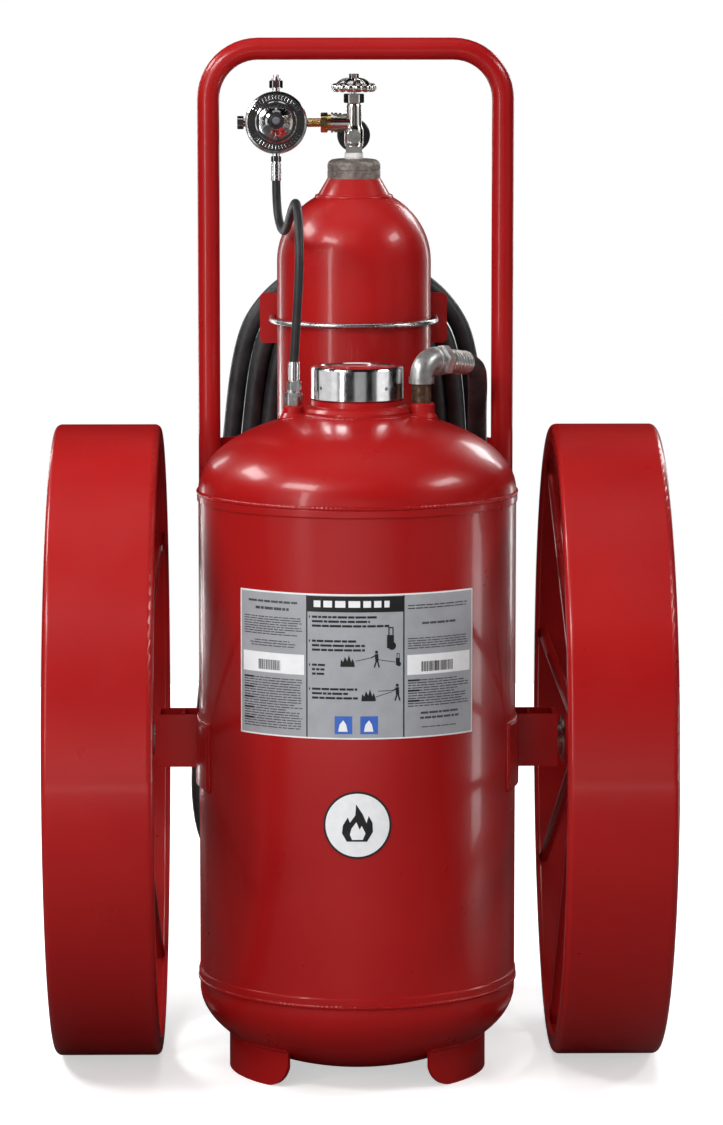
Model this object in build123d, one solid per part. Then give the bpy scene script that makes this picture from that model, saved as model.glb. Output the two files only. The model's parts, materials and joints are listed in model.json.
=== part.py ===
from build123d import *
import os
from math import asin, atan2, cos, degrees, hypot, pi, radians, sin, sqrt, tan

# Wheeled dry-powder fire extinguisher, in millimetres.
# +Z is up and the floor is Z = 0. The front faces -Y. The two wheels turn about the line
# Y = 0, Z = WHEEL_R, and the origin is on the floor midway between them.

# ---- driving dimensions ----
WHEEL_R = 457.2          # 36 inch steel wheel
WHEEL_W = 152.4          # 6 inch tread
WHEEL_IN = 282.0         # distance from the middle plane to a wheel's inner face
RIM_T = 5.0
RIM_LIP = 25.0           # radial width of the rim's two edge rings
SHOULDER_R = 9.0
SPOKE_R = 8.0
SPOKES_PER_SIDE = 8
HUB_R = 32.0
HUB_IN = 302.0
HUB_OUT = 414.0
AXLE_R = 15.875
AXLE_INNER = 247.0
AXLE_OUTER = 431.0
HUB_BORE = 22.225
ROLLER_R = 2.875
ROLLER_COUNT = 12
CAGE_IN = 16.6
CAGE_OUT = 21.4

TANK_Y = -105.0          # the tank stands in front of the axle line
TANK_R = 226.0
TANK_T = 5.0
SEAM_LOW = 139.5
SEAM_HIGH = 825.0
HEAD_B = 113.0           # height of the 2:1 elliptical heads
HEAD_LOW_Z = 119.0       # where the lower head's ellipse starts
HEAD_HIGH_Z = 835.0
BEAD_W = 13.0
BEAD_H = 1.8
POWDER_TOP = 900.0

PORT_X = 91.0            # outlet on the right, gas inlet on the left of the top head
OUTLET_PIPE_R = 13.35    # outside and inside of the siphon pipe and the outlet nipple
OUTLET_PIPE_BORE = 10.4
GAS_TUBE_R = 8.0
GAS_TUBE_BORE = 5.5
NECK_BORE = 50.0
NECK_R = 60.0
NECK_TOP = 990.0
CAP_R = 65.5
CAP_LOW = 964.0
CAP_TOP = 1010.0

FOOT_R = 184.0
FOOT_T = 6.0
FOOT_GAP_HALF = 100.0    # half the gap between the two foot plates at the front
FOOT_CORNER = 38.0

BRACKET_HALF = 31.5      # half the front-to-back size of the axle bracket
BRACKET_LOW = 421.0
BRACKET_HIGH = 497.5
BRACKET_OUT = 291.5
PLATE_T = 5.0
PAD_LOW = 415.0
PAD_HIGH = 507.0
PIN_X = 423.0            # the split pin through each axle
PIN_R = 3.0

FRAME_X = 212.3
FRAME_Y = 50.0
FRAME_TOP = 1453.6
FRAME_R = 15.9
FRAME_WALL = 2.6
FRAME_BEND = 72.0
TAB_HEIGHTS = (345.0, 745.0)     # welded tabs from the tank to the frame tubes
CRADLE_HEIGHTS = (420.0, 850.0)  # flat bars from the tubes round the gas cylinder
CRADLE_WIDE = 40.0
CRADLE_BEND = 60.0

SHELF_Z = 225.0
SHELF_T = 6.0
CYL_Y = 238.5
CYL_R = 114.5
CYL_T = 5.0
CYL_DOME_Z = 1136.0
CYL_DOME_H = 110.0
CLAMP_LOW = 1009.0
CLAMP_HIGH = 1084.5
CLAMP_EAR_Y = CYL_Y + 60.0
STRAP_R = 4.0
STRAP_X = 122.0
STRAP_Z = 1048.0

POST_FRONT = CYL_Y + CYL_R + PLATE_T + 0.5
POST_BACK = POST_FRONT + 25.0

VALVE_Z = 1341.0         # height of the valve's side outlet and of the regulator
BURST_Z = 1321.0
REG_X = -115.3
REG_R = 46.0
REG_TILT = 6.0           # the regulator's face looks up by this many degrees

HOSE_R = 14.0            # discharge hose
GAS_HOSE_R = 6.4
COIL_LOW = (-8.0, 315.0, 243.0)      # x, z, outer radius of the coil's bottom bend
COIL_HIGH = (4.0, 945.0, 192.0)      # the same for its top bend, over the rack
COIL_THICK = 6 * HOSE_R
COIL_FRONT = POST_BACK + 2.5
COIL_BACK = COIL_FRONT + 4 * HOSE_R

ELBOW_Z = 1020.0
ELBOW_TURN = 50.0        # the outlet elbow points this far behind the right-hand side
ELBOW_DROP = 7.0

NOZZLE_X = -70.0
NOZZLE_Y = COIL_FRONT + 2 * HOSE_R
NOZZLE_LOW = 400.0
NOZZLE_BORE = 9.5
LEVER_SHAFT_R = 5.0

GAS_ROUTE = [
    (-115.3, 229.5, 1255.4), (-115.0, 225.0, 1220.0), (-110.0, 200.0, 1190.0),
    (-103.0, 153.0, 1183.0), (-97.0, 102.0, 1200.0), (-91.0, 48.0, 1226.0),
    (-86.0, -8.0, 1238.0), (-83.0, -60.0, 1222.0), (-81.5, -92.0, 1180.0),
    (-82.5, -104.0, 1128.0), (-86.0, -105.5, 1073.0), (-89.6, -105.0, 1016.0),
]
LEAD_ROUTE = [
    (156.4, -26.7, 1007.5), (172.0, -7.0, 1002.5), (177.0, 35.0, 975.0),
    (177.5, 80.0, 927.0), (180.0, 125.0, 866.0), (185.0, 172.0, 800.0),
    (191.5, 222.0, 735.0), (199.0, 275.0, 673.0), (205.0, 328.0, 610.0),
    (206.5, 376.0, 545.0), (206.0, 402.0, 475.0),
]
TAIL_ROUTE = [
    (60.0, 414.5, 160.5), (4.0, 414.0, 171.0), (-40.0, 414.5, 207.0),
    (-64.0, 415.0, 259.0), (-70.5, 414.5, 325.0), (-70.0, 414.0, 400.0),
]

os.makedirs("parts", exist_ok=True)
volumes = {}


def save(name, shape):
    """Write one sub-part to its own file."""
    solids = shape.solids()
    volumes[name] = sum(s.volume for s in solids)
    body = solids[0] if len(solids) == 1 else Compound(children=list(solids))
    export_step(body, "parts/" + name + ".step")


def group(*shapes):
    """Separate solids that share one node."""
    found = []
    for shape in shapes:
        found.extend(shape.solids())
    return Compound(children=found)


def turned(points, x=0.0, y=0.0):
    """A body of revolution about a vertical axis, from (radius, z) points."""
    face = make_face(Plane.XZ * Polyline(*points, close=True))
    return Pos(x, y, 0) * revolve(face, Axis.Z, 360)


def rod(radius, start, end):
    """A round bar between two points."""
    begin, finish = Vector(*start), Vector(*end)
    run = finish - begin
    return extrude(Plane(origin=begin, z_dir=run) * Circle(radius), run.length)


def pipe(outer, inner, start, end):
    return rod(outer, start, end) - rod(inner, start, end)


def hexagon(across, start, end):
    """A hexagonal bar with lightly turned corners."""
    begin, finish = Vector(*start), Vector(*end)
    run = finish - begin
    plane = Plane(origin=begin, z_dir=run)
    bar = extrude(plane * RegularPolygon(across / 2, 6, major_radius=False), run.length)
    round_bar = extrude(plane * Circle(across * 0.56), run.length)
    return bar & chamfer(round_bar.edges(), across * 0.04)


def arc_plate(radius, thick, low, high, start, end, x=0.0, y=0.0):
    """A plate rolled about a vertical axis, between two angles from +X in degrees."""
    face = make_face(Plane.XZ * Polyline((radius, low), (radius + thick, low),
                                         (radius + thick, high), (radius, high), close=True))
    plate = revolve(face, Axis.Z, end - start)
    return Pos(x, y, 0) * Rot(0, 0, start) * plate


def ellipsoid_body(inset, low_cut, high_cut):
    """The tank's outer form, smaller by inset, kept between two heights."""
    a, b = TANK_R - inset, HEAD_B - inset
    top = EllipticalCenterArc((0, HEAD_HIGH_Z), a, b, start_angle=0, arc_size=90)
    side = Line((a, HEAD_LOW_Z), (a, HEAD_HIGH_Z))
    bottom = EllipticalCenterArc((0, HEAD_LOW_Z), a, b, start_angle=270, arc_size=90)
    middle = Line((0, HEAD_HIGH_Z + b), (0, HEAD_LOW_Z - b))
    form = revolve(make_face(Plane.XZ * (bottom + side + top + middle)), Axis.Z, 360)
    slab = Pos(0, 0, (low_cut + high_cut) / 2) * Box(600, 600, high_cut - low_cut)
    return Pos(0, TANK_Y, 0) * (form & slab)


def corner_radii(points):
    """The bend at each inner point of a hose route, as large as its two runs allow."""
    radii = []
    for before, here, after in zip(points, points[1:], points[2:]):
        first = Vector(*here) - Vector(*before)
        second = Vector(*after) - Vector(*here)
        half = radians(first.get_angle(second)) / 2
        radii.append(0.45 * min(first.length, second.length) / tan(half))
    return radii


def hose(name, points, radius):
    """A hose along straight runs and tangent arcs."""
    radii = corner_radii(points)
    path = FilletPolyline(*points, radius=radii)
    tube = sweep(Plane(origin=path @ 0, z_dir=path % 0) * Circle(radius), path=path)
    expected = pi * radius ** 2 * path.length
    print(name, "length", round(path.length, 1), "volume ratio", round(tube.volume / expected, 4),
          "smallest bend in diameters", round(min(radii) / (2 * radius), 1),
          "radii", [round(r) for r in radii])
    return tube


# ---- powder tank ----
def build_tank():
    outer = ellipsoid_body(0, 0, 960)
    inner = ellipsoid_body(TANK_T, 0, 960)
    wall = outer - inner
    joggle = TANK_R - TANK_T
    shell = wall & Pos(0, TANK_Y, (SEAM_LOW + SEAM_HIGH) / 2) * Box(600, 600, SEAM_HIGH - SEAM_LOW)

    def head(low, high, seam, into):
        cap = wall & Pos(0, TANK_Y, (low + high) / 2) * Box(600, 600, high - low)
        skirt = turned([(joggle - 4, seam), (joggle, seam), (joggle, seam + into),
                        (joggle - 4, seam + into)], 0, TANK_Y)
        step = turned([(joggle - 4, seam), (joggle + 1, seam), (joggle + 1, seam - into * 0.2),
                       (joggle - 4, seam - into * 0.2)], 0, TANK_Y)
        half = BEAD_W / 2
        bead = turned([(TANK_R, seam - half), (TANK_R + 1.2, seam - half + 0.6),
                       (TANK_R + BEAD_H, seam - half + 2.5), (TANK_R + BEAD_H, seam + half - 2.5),
                       (TANK_R + 1.2, seam + half - 0.6), (TANK_R, seam + half)], 0, TANK_Y)
        return cap + skirt + step + bead

    top = head(SEAM_HIGH, 960, SEAM_HIGH, -20)
    bottom = head(0, SEAM_LOW, SEAM_LOW, 20)
    top -= Pos(0, TANK_Y, 940) * Cylinder(NECK_R, 60)
    top -= Pos(PORT_X, TANK_Y, 930) * Cylinder(OUTLET_PIPE_R, 80)
    top -= Pos(-PORT_X, TANK_Y, 930) * Cylinder(GAS_TUBE_R, 80)
    save("tank_shell", shell)
    save("tank_top_head", top)
    save("tank_bottom_head", bottom)
    return ellipsoid_body(0, 0, 960)


def build_tank_fittings(form):
    neck = turned([(NECK_BORE, 925), (NECK_R, 925), (NECK_R, NECK_TOP), (NECK_BORE, NECK_TOP)],
                  0, TANK_Y)
    collar = turned([(NECK_R, 925), (76.5, 925), (76.5, 947), (73.5, 951.5), (66, 955),
                     (65, 962.5), (NECK_R, 962.5)], 0, TANK_Y)
    fill_neck = neck + (collar - form)

    def boss(x, radius, top, bore):
        ring = turned([(bore, 900), (radius, 900), (radius, top - 2), (radius - 2, top),
                       (bore, top)], x, TANK_Y)
        fillet_weld = turned([(bore, 900), (radius + 4, 900), (radius + 4, 938),
                              (radius, 944), (bore, 944)], x, TANK_Y)
        collar_form = Pos(0, TANK_Y, 940) * Cylinder(76.6, 60)
        return (ring + fillet_weld) - form - collar_form

    outlet_boss = boss(PORT_X, 19.0, 957.5, OUTLET_PIPE_R)
    inlet_boss = boss(-PORT_X, 15.0, 954.0, GAS_TUBE_R)
    save("tank_neck_and_bosses", group(fill_neck, outlet_boss, inlet_boss))

    siphon = pipe(OUTLET_PIPE_R, OUTLET_PIPE_BORE, (PORT_X, TANK_Y, 46), (PORT_X, TANK_Y, 942))
    gas = pipe(GAS_TUBE_R, GAS_TUBE_BORE, (-PORT_X, TANK_Y, 60), (-PORT_X, TANK_Y, 934))
    for height in (70, 90, 110):
        gas -= Pos(-PORT_X, TANK_Y, height) * Rot(90, 0, 0) * Cylinder(2.5, 30)
    save("siphon_and_gas_tubes", group(siphon, gas))

    charge = ellipsoid_body(TANK_T + 4.5, 0, POWDER_TOP)
    charge -= Pos(PORT_X, TANK_Y, 480) * Cylinder(OUTLET_PIPE_R + 0.45, 960)
    charge -= Pos(-PORT_X, TANK_Y, 480) * Cylinder(GAS_TUBE_R + 0.5, 960)
    save("powder_charge", charge)

    def foot(side):
        front = degrees(asin(FOOT_GAP_HALF / FOOT_R)) - 90
        start, end = (front, 14) if side > 0 else (166, 180 - front)
        plate = arc_plate(FOOT_R - FOOT_T, FOOT_T, 0, 90, start, end, 0, TANK_Y)
        corner = FOOT_CORNER
        angle = front if side > 0 else 180 - front
        middle = FOOT_R - FOOT_T / 2
        swing = degrees(corner / middle) * side
        at = radians(angle + swing)
        centre = Vector(middle * cos(at), TANK_Y + middle * sin(at), corner)
        outward = Vector(cos(at), sin(at), 0)
        disc = extrude(Plane(origin=centre - outward * 30, z_dir=outward) * Circle(corner), 60)
        edge = radians(angle)
        block_mid = radians(angle + swing / 2)
        block = Plane(origin=Vector(middle * cos(block_mid), TANK_Y + middle * sin(block_mid), 0),
                      x_dir=Vector(cos(edge), sin(edge), 0), z_dir=Vector(0, 0, 1))
        chip = block * (Pos(0, 0, corner / 2) * Box(60, corner * 1.12, corner))
        return (plate - (chip - disc)) - form

    save("tank_feet", group(foot(1), foot(-1)))


def build_fill_cap():
    ring = turned([
        (NECK_R + 0.05, CAP_LOW), (CAP_R - 1, CAP_LOW), (CAP_R, CAP_LOW + 1),
        (CAP_R, CAP_TOP - 3), (CAP_R - 1, CAP_TOP - 1), (CAP_R - 3, CAP_TOP),
        (54, CAP_TOP), (52.5, CAP_TOP - 1.5), (52.5, 1001.3), (NECK_R + 0.05, 1001.3)],
        0, TANK_Y)
    for angle in (-52, 38, 128, 218):
        spot = radians(angle)
        ring -= rod(2.6, (60.5 * cos(spot), TANK_Y + 60.5 * sin(spot), 982),
                    (70 * cos(spot), TANK_Y + 70 * sin(spot), 982))
    save("fill_cap_ring", ring)
    disc = turned([(0, 993.3), (59.6, 993.3), (59.6, 1001.0), (52.1, 1001.0), (52.1, 1005.5),
                   (50.5, 1007.0), (16, 1007.0), (14, 1005.0), (0, 1005.0)], 0, TANK_Y)
    save("fill_closure_disc", disc)
    save("fill_gasket", turned([(NECK_BORE + 1, 990.3), (59.4, 990.3), (59.4, 993.3),
                                (NECK_BORE + 1, 993.3)], 0, TANK_Y))


# ---- running gear ----
def build_brackets():
    pads = []
    brackets = []
    axles = []
    washers = []
    pins = []
    for side in (1, -1):
        start, end = (-21.5, 42) if side > 0 else (138, 201.5)
        pads.append(arc_plate(TANK_R, PLATE_T, PAD_LOW, PAD_HIGH, start, end, 0, TANK_Y))
        height = BRACKET_HIGH - BRACKET_LOW
        mid_z = (BRACKET_HIGH + BRACKET_LOW) / 2
        reach = BRACKET_OUT - 150
        mid_x = side * (BRACKET_OUT + 150) / 2
        box = Pos(mid_x, 0, mid_z) * Box(reach, 2 * BRACKET_HALF, height)
        hollow = Pos(side * (150 + (BRACKET_OUT - 7.5)) / 2, 0, mid_z + PLATE_T)
        box -= hollow * Box(BRACKET_OUT - 7.5 - 150, 2 * (BRACKET_HALF - PLATE_T), height)
        gusset = Pos(side * (AXLE_INNER + PLATE_T / 2 + 1), 0, mid_z)
        box += gusset * Box(PLATE_T, 2 * BRACKET_HALF, height)
        box -= Pos(0, TANK_Y, mid_z) * Cylinder(TANK_R + PLATE_T, 200)
        box -= rod(AXLE_R, (side * 150, 0, WHEEL_R), (side * 300, 0, WHEEL_R))
        brackets.append(box)
        axle = rod(AXLE_R, (side * AXLE_INNER, 0, WHEEL_R), (side * AXLE_OUTER, 0, WHEEL_R))
        axle = chamfer(axle.edges(), 1.5)
        axle -= rod(PIN_R, (side * PIN_X, 0, WHEEL_R - 30), (side * PIN_X, 0, WHEEL_R + 30))
        axles.append(axle)
        for near, far, radius in ((291.8, 294.3, 24.5), (294.7, 297.2, 24.5),
                                  (298.2, 301.6, 33.0), (414.4, 417.6, 24.5)):
            washers.append(pipe(radius, AXLE_R, (side * near, 0, WHEEL_R),
                                (side * far, 0, WHEEL_R)))
        pin = rod(PIN_R, (side * PIN_X, 0, WHEEL_R - 22), (side * PIN_X, 0, WHEEL_R + 20))
        eye = Pos(side * PIN_X, 0, WHEEL_R + 25.5) * Rot(0, 90, 0) * Torus(6.0, 2.4)
        pins.append(pin + eye)
    save("axle_brackets", group(*pads, *brackets))
    save("stub_axles", group(*axles))
    save("axle_washers_and_pins", group(*washers, *pins))


def build_wheel(side, name):
    far = WHEEL_IN + WHEEL_W
    corner = SHOULDER_R - RIM_T
    low, high = WHEEL_R - RIM_LIP, WHEEL_R - SHOULDER_R
    s = sin(radians(45))

    def arc(x, z, radius, direction):
        return ThreePointArc((x + direction * radius, z), (x + direction * radius * s, z + radius * s),
                             (x, z + radius))

    near_x, far_x = WHEEL_IN + SHOULDER_R, far - SHOULDER_R
    outline = (
        Line((WHEEL_IN, low), (WHEEL_IN, high)) + arc(near_x, high, SHOULDER_R, -1)
        + Line((near_x, WHEEL_R), (far_x, WHEEL_R)) + arc(far_x, high, SHOULDER_R, 1)
        + Line((far, high), (far, low)) + Line((far, low), (far - RIM_T, low))
        + Line((far - RIM_T, low), (far - RIM_T, high)) + arc(far_x, high, corner, 1)
        + Line((far_x, WHEEL_R - RIM_T), (near_x, WHEEL_R - RIM_T)) + arc(near_x, high, corner, -1)
        + Line((WHEEL_IN + RIM_T, high), (WHEEL_IN + RIM_T, low))
        + Line((WHEEL_IN + RIM_T, low), (WHEEL_IN, low)))
    rim = revolve(make_face(Plane.XZ * outline), Axis.X, 360)

    hub_face = make_face(Plane.XZ * Polyline(
        (HUB_IN, HUB_BORE), (HUB_IN, 35), (HUB_IN + 1.5, 36.5), (HUB_IN + 14, 36.5),
        (HUB_IN + 18, HUB_R), (HUB_OUT - 18, HUB_R), (HUB_OUT - 14, 36.5),
        (HUB_OUT - 1.5, 36.5), (HUB_OUT, 35), (HUB_OUT, HUB_BORE), close=True))
    hub = revolve(hub_face, Axis.X, 360)

    spokes = []
    inside = rod(WHEEL_R - RIM_T, (WHEEL_IN, 0, 0), (far, 0, 0))
    core = hub + rod(HUB_R - 4, (HUB_IN, 0, 0), (HUB_OUT, 0, 0))
    for number in range(2 * SPOKES_PER_SIDE):
        outer_row = number % 2
        at_hub = HUB_OUT - 24.5 if outer_row else HUB_IN + 24.5
        at_rim = far - RIM_T - SPOKE_R - 0.5 if outer_row else WHEEL_IN + RIM_T + SPOKE_R + 0.5
        bar = rod(SPOKE_R, (at_hub, 0, 28), (at_rim, 0, WHEEL_R))
        bar = (bar & inside) - core - rim
        spokes.append(Rot(number * 180 / SPOKES_PER_SIDE + 11.25, 0, 0) * bar)

    rollers = []
    cage = pipe(CAGE_OUT, CAGE_IN, (HUB_IN + 1.5, 0, 0), (HUB_OUT - 1.5, 0, 0))
    for number in range(ROLLER_COUNT):
        angle = radians(number * 360 / ROLLER_COUNT)
        pitch = (AXLE_R + HUB_BORE) / 2
        y, z = pitch * cos(angle), pitch * sin(angle)
        rollers.append(rod(ROLLER_R, (HUB_IN + 6, y, z), (HUB_OUT - 6, y, z)))
        cage -= rod(ROLLER_R + 0.25, (HUB_IN + 5.5, y, z), (HUB_OUT - 5.5, y, z))

    place = Pos(0, 0, WHEEL_R)
    if side < 0:
        place = place * Rot(0, 0, 180)
    save("wheel_rim_" + name, place * rim)
    save("wheel_hub_and_spokes_" + name, place * group(hub, *spokes))
    save("hub_roller_bearing_" + name, place * group(cage, *rollers))


# ---- handle frame, shelf and rack ----
def build_frame():
    corners = [(-FRAME_X, FRAME_Y, SHELF_Z + SHELF_T), (-FRAME_X, FRAME_Y, FRAME_TOP),
               (FRAME_X, FRAME_Y, FRAME_TOP), (FRAME_X, FRAME_Y, SHELF_Z + SHELF_T)]
    path = FilletPolyline(*corners, radius=FRAME_BEND)
    start = Plane(origin=path @ 0, z_dir=path % 0)
    tube = sweep(start * Circle(FRAME_R), path=path)
    tube -= sweep(start * Circle(FRAME_R - FRAME_WALL), path=path)
    save("handle_frame", tube)

    angle = atan2(FRAME_Y - TANK_Y, FRAME_X)
    reach = hypot(FRAME_X, FRAME_Y - TANK_Y)
    tabs = []
    for side in (1, -1):
        tube_form = Pos(side * FRAME_X, FRAME_Y, 600) * Cylinder(FRAME_R, 1000)
        for height in TAB_HEIGHTS:
            at = angle if side > 0 else radians(180) - angle
            mid = (TANK_R + reach) / 2
            tab = Pos(mid * cos(at), TANK_Y + mid * sin(at), height) * Rot(0, 0, degrees(at))
            tab = tab * Box(reach - TANK_R + 4, 16, 62)
            tab -= Pos(0, TANK_Y, height) * Cylinder(TANK_R, 100)
            tabs.append(tab - tube_form)

    outline = Polyline((-228, 33), (-228, 118), (-126, 200), (-126, 340), (-70, 362), (-32, 362),
                       (-32, POST_BACK), (32, POST_BACK), (32, 362), (70, 362), (126, 340),
                       (126, 200), (228, 118), (228, 33), close=True)
    shelf = extrude(Pos(0, 0, SHELF_Z) * make_face(outline), SHELF_T)
    shelf -= Pos(0, TANK_Y, SHELF_Z) * Cylinder(TANK_R, 40)
    shelf -= Pos(0, CYL_Y, SHELF_Z) * Cylinder(45, 40)
    cup = turned([(CYL_R + 1, SHELF_Z + SHELF_T), (CYL_R + 5, SHELF_Z + SHELF_T),
                  (CYL_R + 5, SHELF_Z + 32), (CYL_R + 1, SHELF_Z + 32)], 0, CYL_Y)
    cup -= Pos(0, POST_FRONT + 20, SHELF_Z + 20) * Box(66, 40, 60)
    cup -= Pos(0, TANK_Y, SHELF_Z + 20) * Cylinder(TANK_R + 0.5, 60)
    save("cylinder_shelf", shelf + cup)

    depth = POST_BACK - POST_FRONT
    post_low = SHELF_Z + SHELF_T
    post_high = CLAMP_HIGH
    mid_z = (post_low + post_high) / 2
    mid_y = (POST_FRONT + POST_BACK) / 2
    post = Pos(0, mid_y, mid_z) * Box(60, depth, post_high - post_low)
    post -= Pos(0, mid_y + 2, mid_z) * Box(52, depth - 4, post_high - post_low + 10)
    save("rack_post", post)

    ear_reach = sqrt((CYL_R + PLATE_T) ** 2 - (CLAMP_EAR_Y - CYL_Y) ** 2)
    start = degrees(asin((CLAMP_EAR_Y - CYL_Y - 1) / (CYL_R + 0.3)))
    band = arc_plate(CYL_R + 0.5, PLATE_T, CLAMP_LOW, CLAMP_HIGH, start, 180 - start, 0, CYL_Y)
    mid_clamp = (CLAMP_LOW + CLAMP_HIGH) / 2
    for side in (1, -1):
        inner, outer = ear_reach - 4, 140.5
        ear = Pos(side * (inner + outer) / 2, CLAMP_EAR_Y, mid_clamp)
        ear = ear * Box(outer - inner, PLATE_T, CLAMP_HIGH - CLAMP_LOW)
        tips = ear.edges().filter_by(Axis.Y).sort_by(Axis.X)
        ear = fillet(tips[-2:] if side > 0 else tips[:2], 8)
        ear -= rod(STRAP_R, (side * STRAP_X, CLAMP_EAR_Y - 20, STRAP_Z),
                   (side * STRAP_X, CLAMP_EAR_Y + 20, STRAP_Z))
        band += ear
    band -= Pos(0, CYL_Y, mid_clamp) * Cylinder(CYL_R + 0.5, 200)
    save("cylinder_clamp", band)

    # a U-shaped rod that bears on the front of the cylinder, with its ends through the ears
    leg = STRAP_X
    bend_y = CYL_Y - CYL_R - STRAP_R - 0.3 + leg
    end_y = CLAMP_EAR_Y + 26
    path = Wire([Edge.make_line((leg, end_y, STRAP_Z), (leg, bend_y, STRAP_Z)),
                 Edge.make_three_point_arc((leg, bend_y, STRAP_Z), (0, bend_y - leg, STRAP_Z),
                                           (-leg, bend_y, STRAP_Z)),
                 Edge.make_line((-leg, bend_y, STRAP_Z), (-leg, end_y, STRAP_Z))])
    strap = sweep(Plane(origin=(leg, end_y, STRAP_Z), z_dir=(0, -1, 0)) * Circle(STRAP_R), path=path)
    nuts = []
    for side in (1, -1):
        x = side * leg
        face_y = CLAMP_EAR_Y + PLATE_T / 2
        washer = pipe(9.0, STRAP_R, (x, face_y, STRAP_Z), (x, face_y + 1.6, STRAP_Z))
        nut = hexagon(13.0, (x, face_y + 1.6, STRAP_Z), (x, face_y + 8.4, STRAP_Z))
        nut -= rod(STRAP_R, (x, face_y, STRAP_Z), (x, face_y + 20, STRAP_Z))
        nuts.extend([washer, nut])
    save("cylinder_strap_and_nuts", group(strap, *nuts))

    cradles = []
    half, back = FRAME_X + 2.5, POST_FRONT - PLATE_T / 2
    for height in CRADLE_HEIGHTS:
        path = FilletPolyline((half, FRAME_Y, height), (half, 250, height), (60, back, height),
                              (-60, back, height), (-half, 250, height), (-half, FRAME_Y, height),
                              radius=CRADLE_BEND)
        start = Plane(origin=path @ 0, x_dir=(1, 0, 0), z_dir=path % 0)
        bar = sweep(start * Rectangle(PLATE_T, CRADLE_WIDE), path=path)
        for side in (1, -1):
            bar -= Pos(side * FRAME_X, FRAME_Y, height) * Cylinder(FRAME_R, 100)
        bar -= Pos(0, CYL_Y, height) * Cylinder(CYL_R + 0.4, 100)
        cradles.append(bar)
    save("frame_brackets", group(*tabs, *cradles))

    top_x, top_z, top_r = COIL_HIGH
    inner_r = top_r - COIL_THICK - 0.8
    front, back = POST_BACK, COIL_BACK + 3

    def arc_about_y(radius, thick, y_low, y_high, span):
        face = make_face(Plane.YZ * Polyline((y_low, radius), (y_high, radius),
                                             (y_high, radius - thick), (y_low, radius - thick),
                                             close=True))
        half_arc = revolve(face, Axis.Y, span)
        return Pos(top_x, 0, top_z) * Rot(0, -span / 2, 0) * half_arc

    cradle = arc_about_y(inner_r, 5, front, back, 130)
    lip = arc_about_y(inner_r + 26, 31, back, back + 4, 130)
    web = Pos(0, (front + back) / 2, top_z + inner_r - 26) * Box(8, back - front, 44)
    web_foot = Pos(0, (front + back) / 2, top_z + inner_r - 48) * Box(8, 20, 10)
    save("hose_saddle", cradle + lip + web + web_foot)


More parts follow.
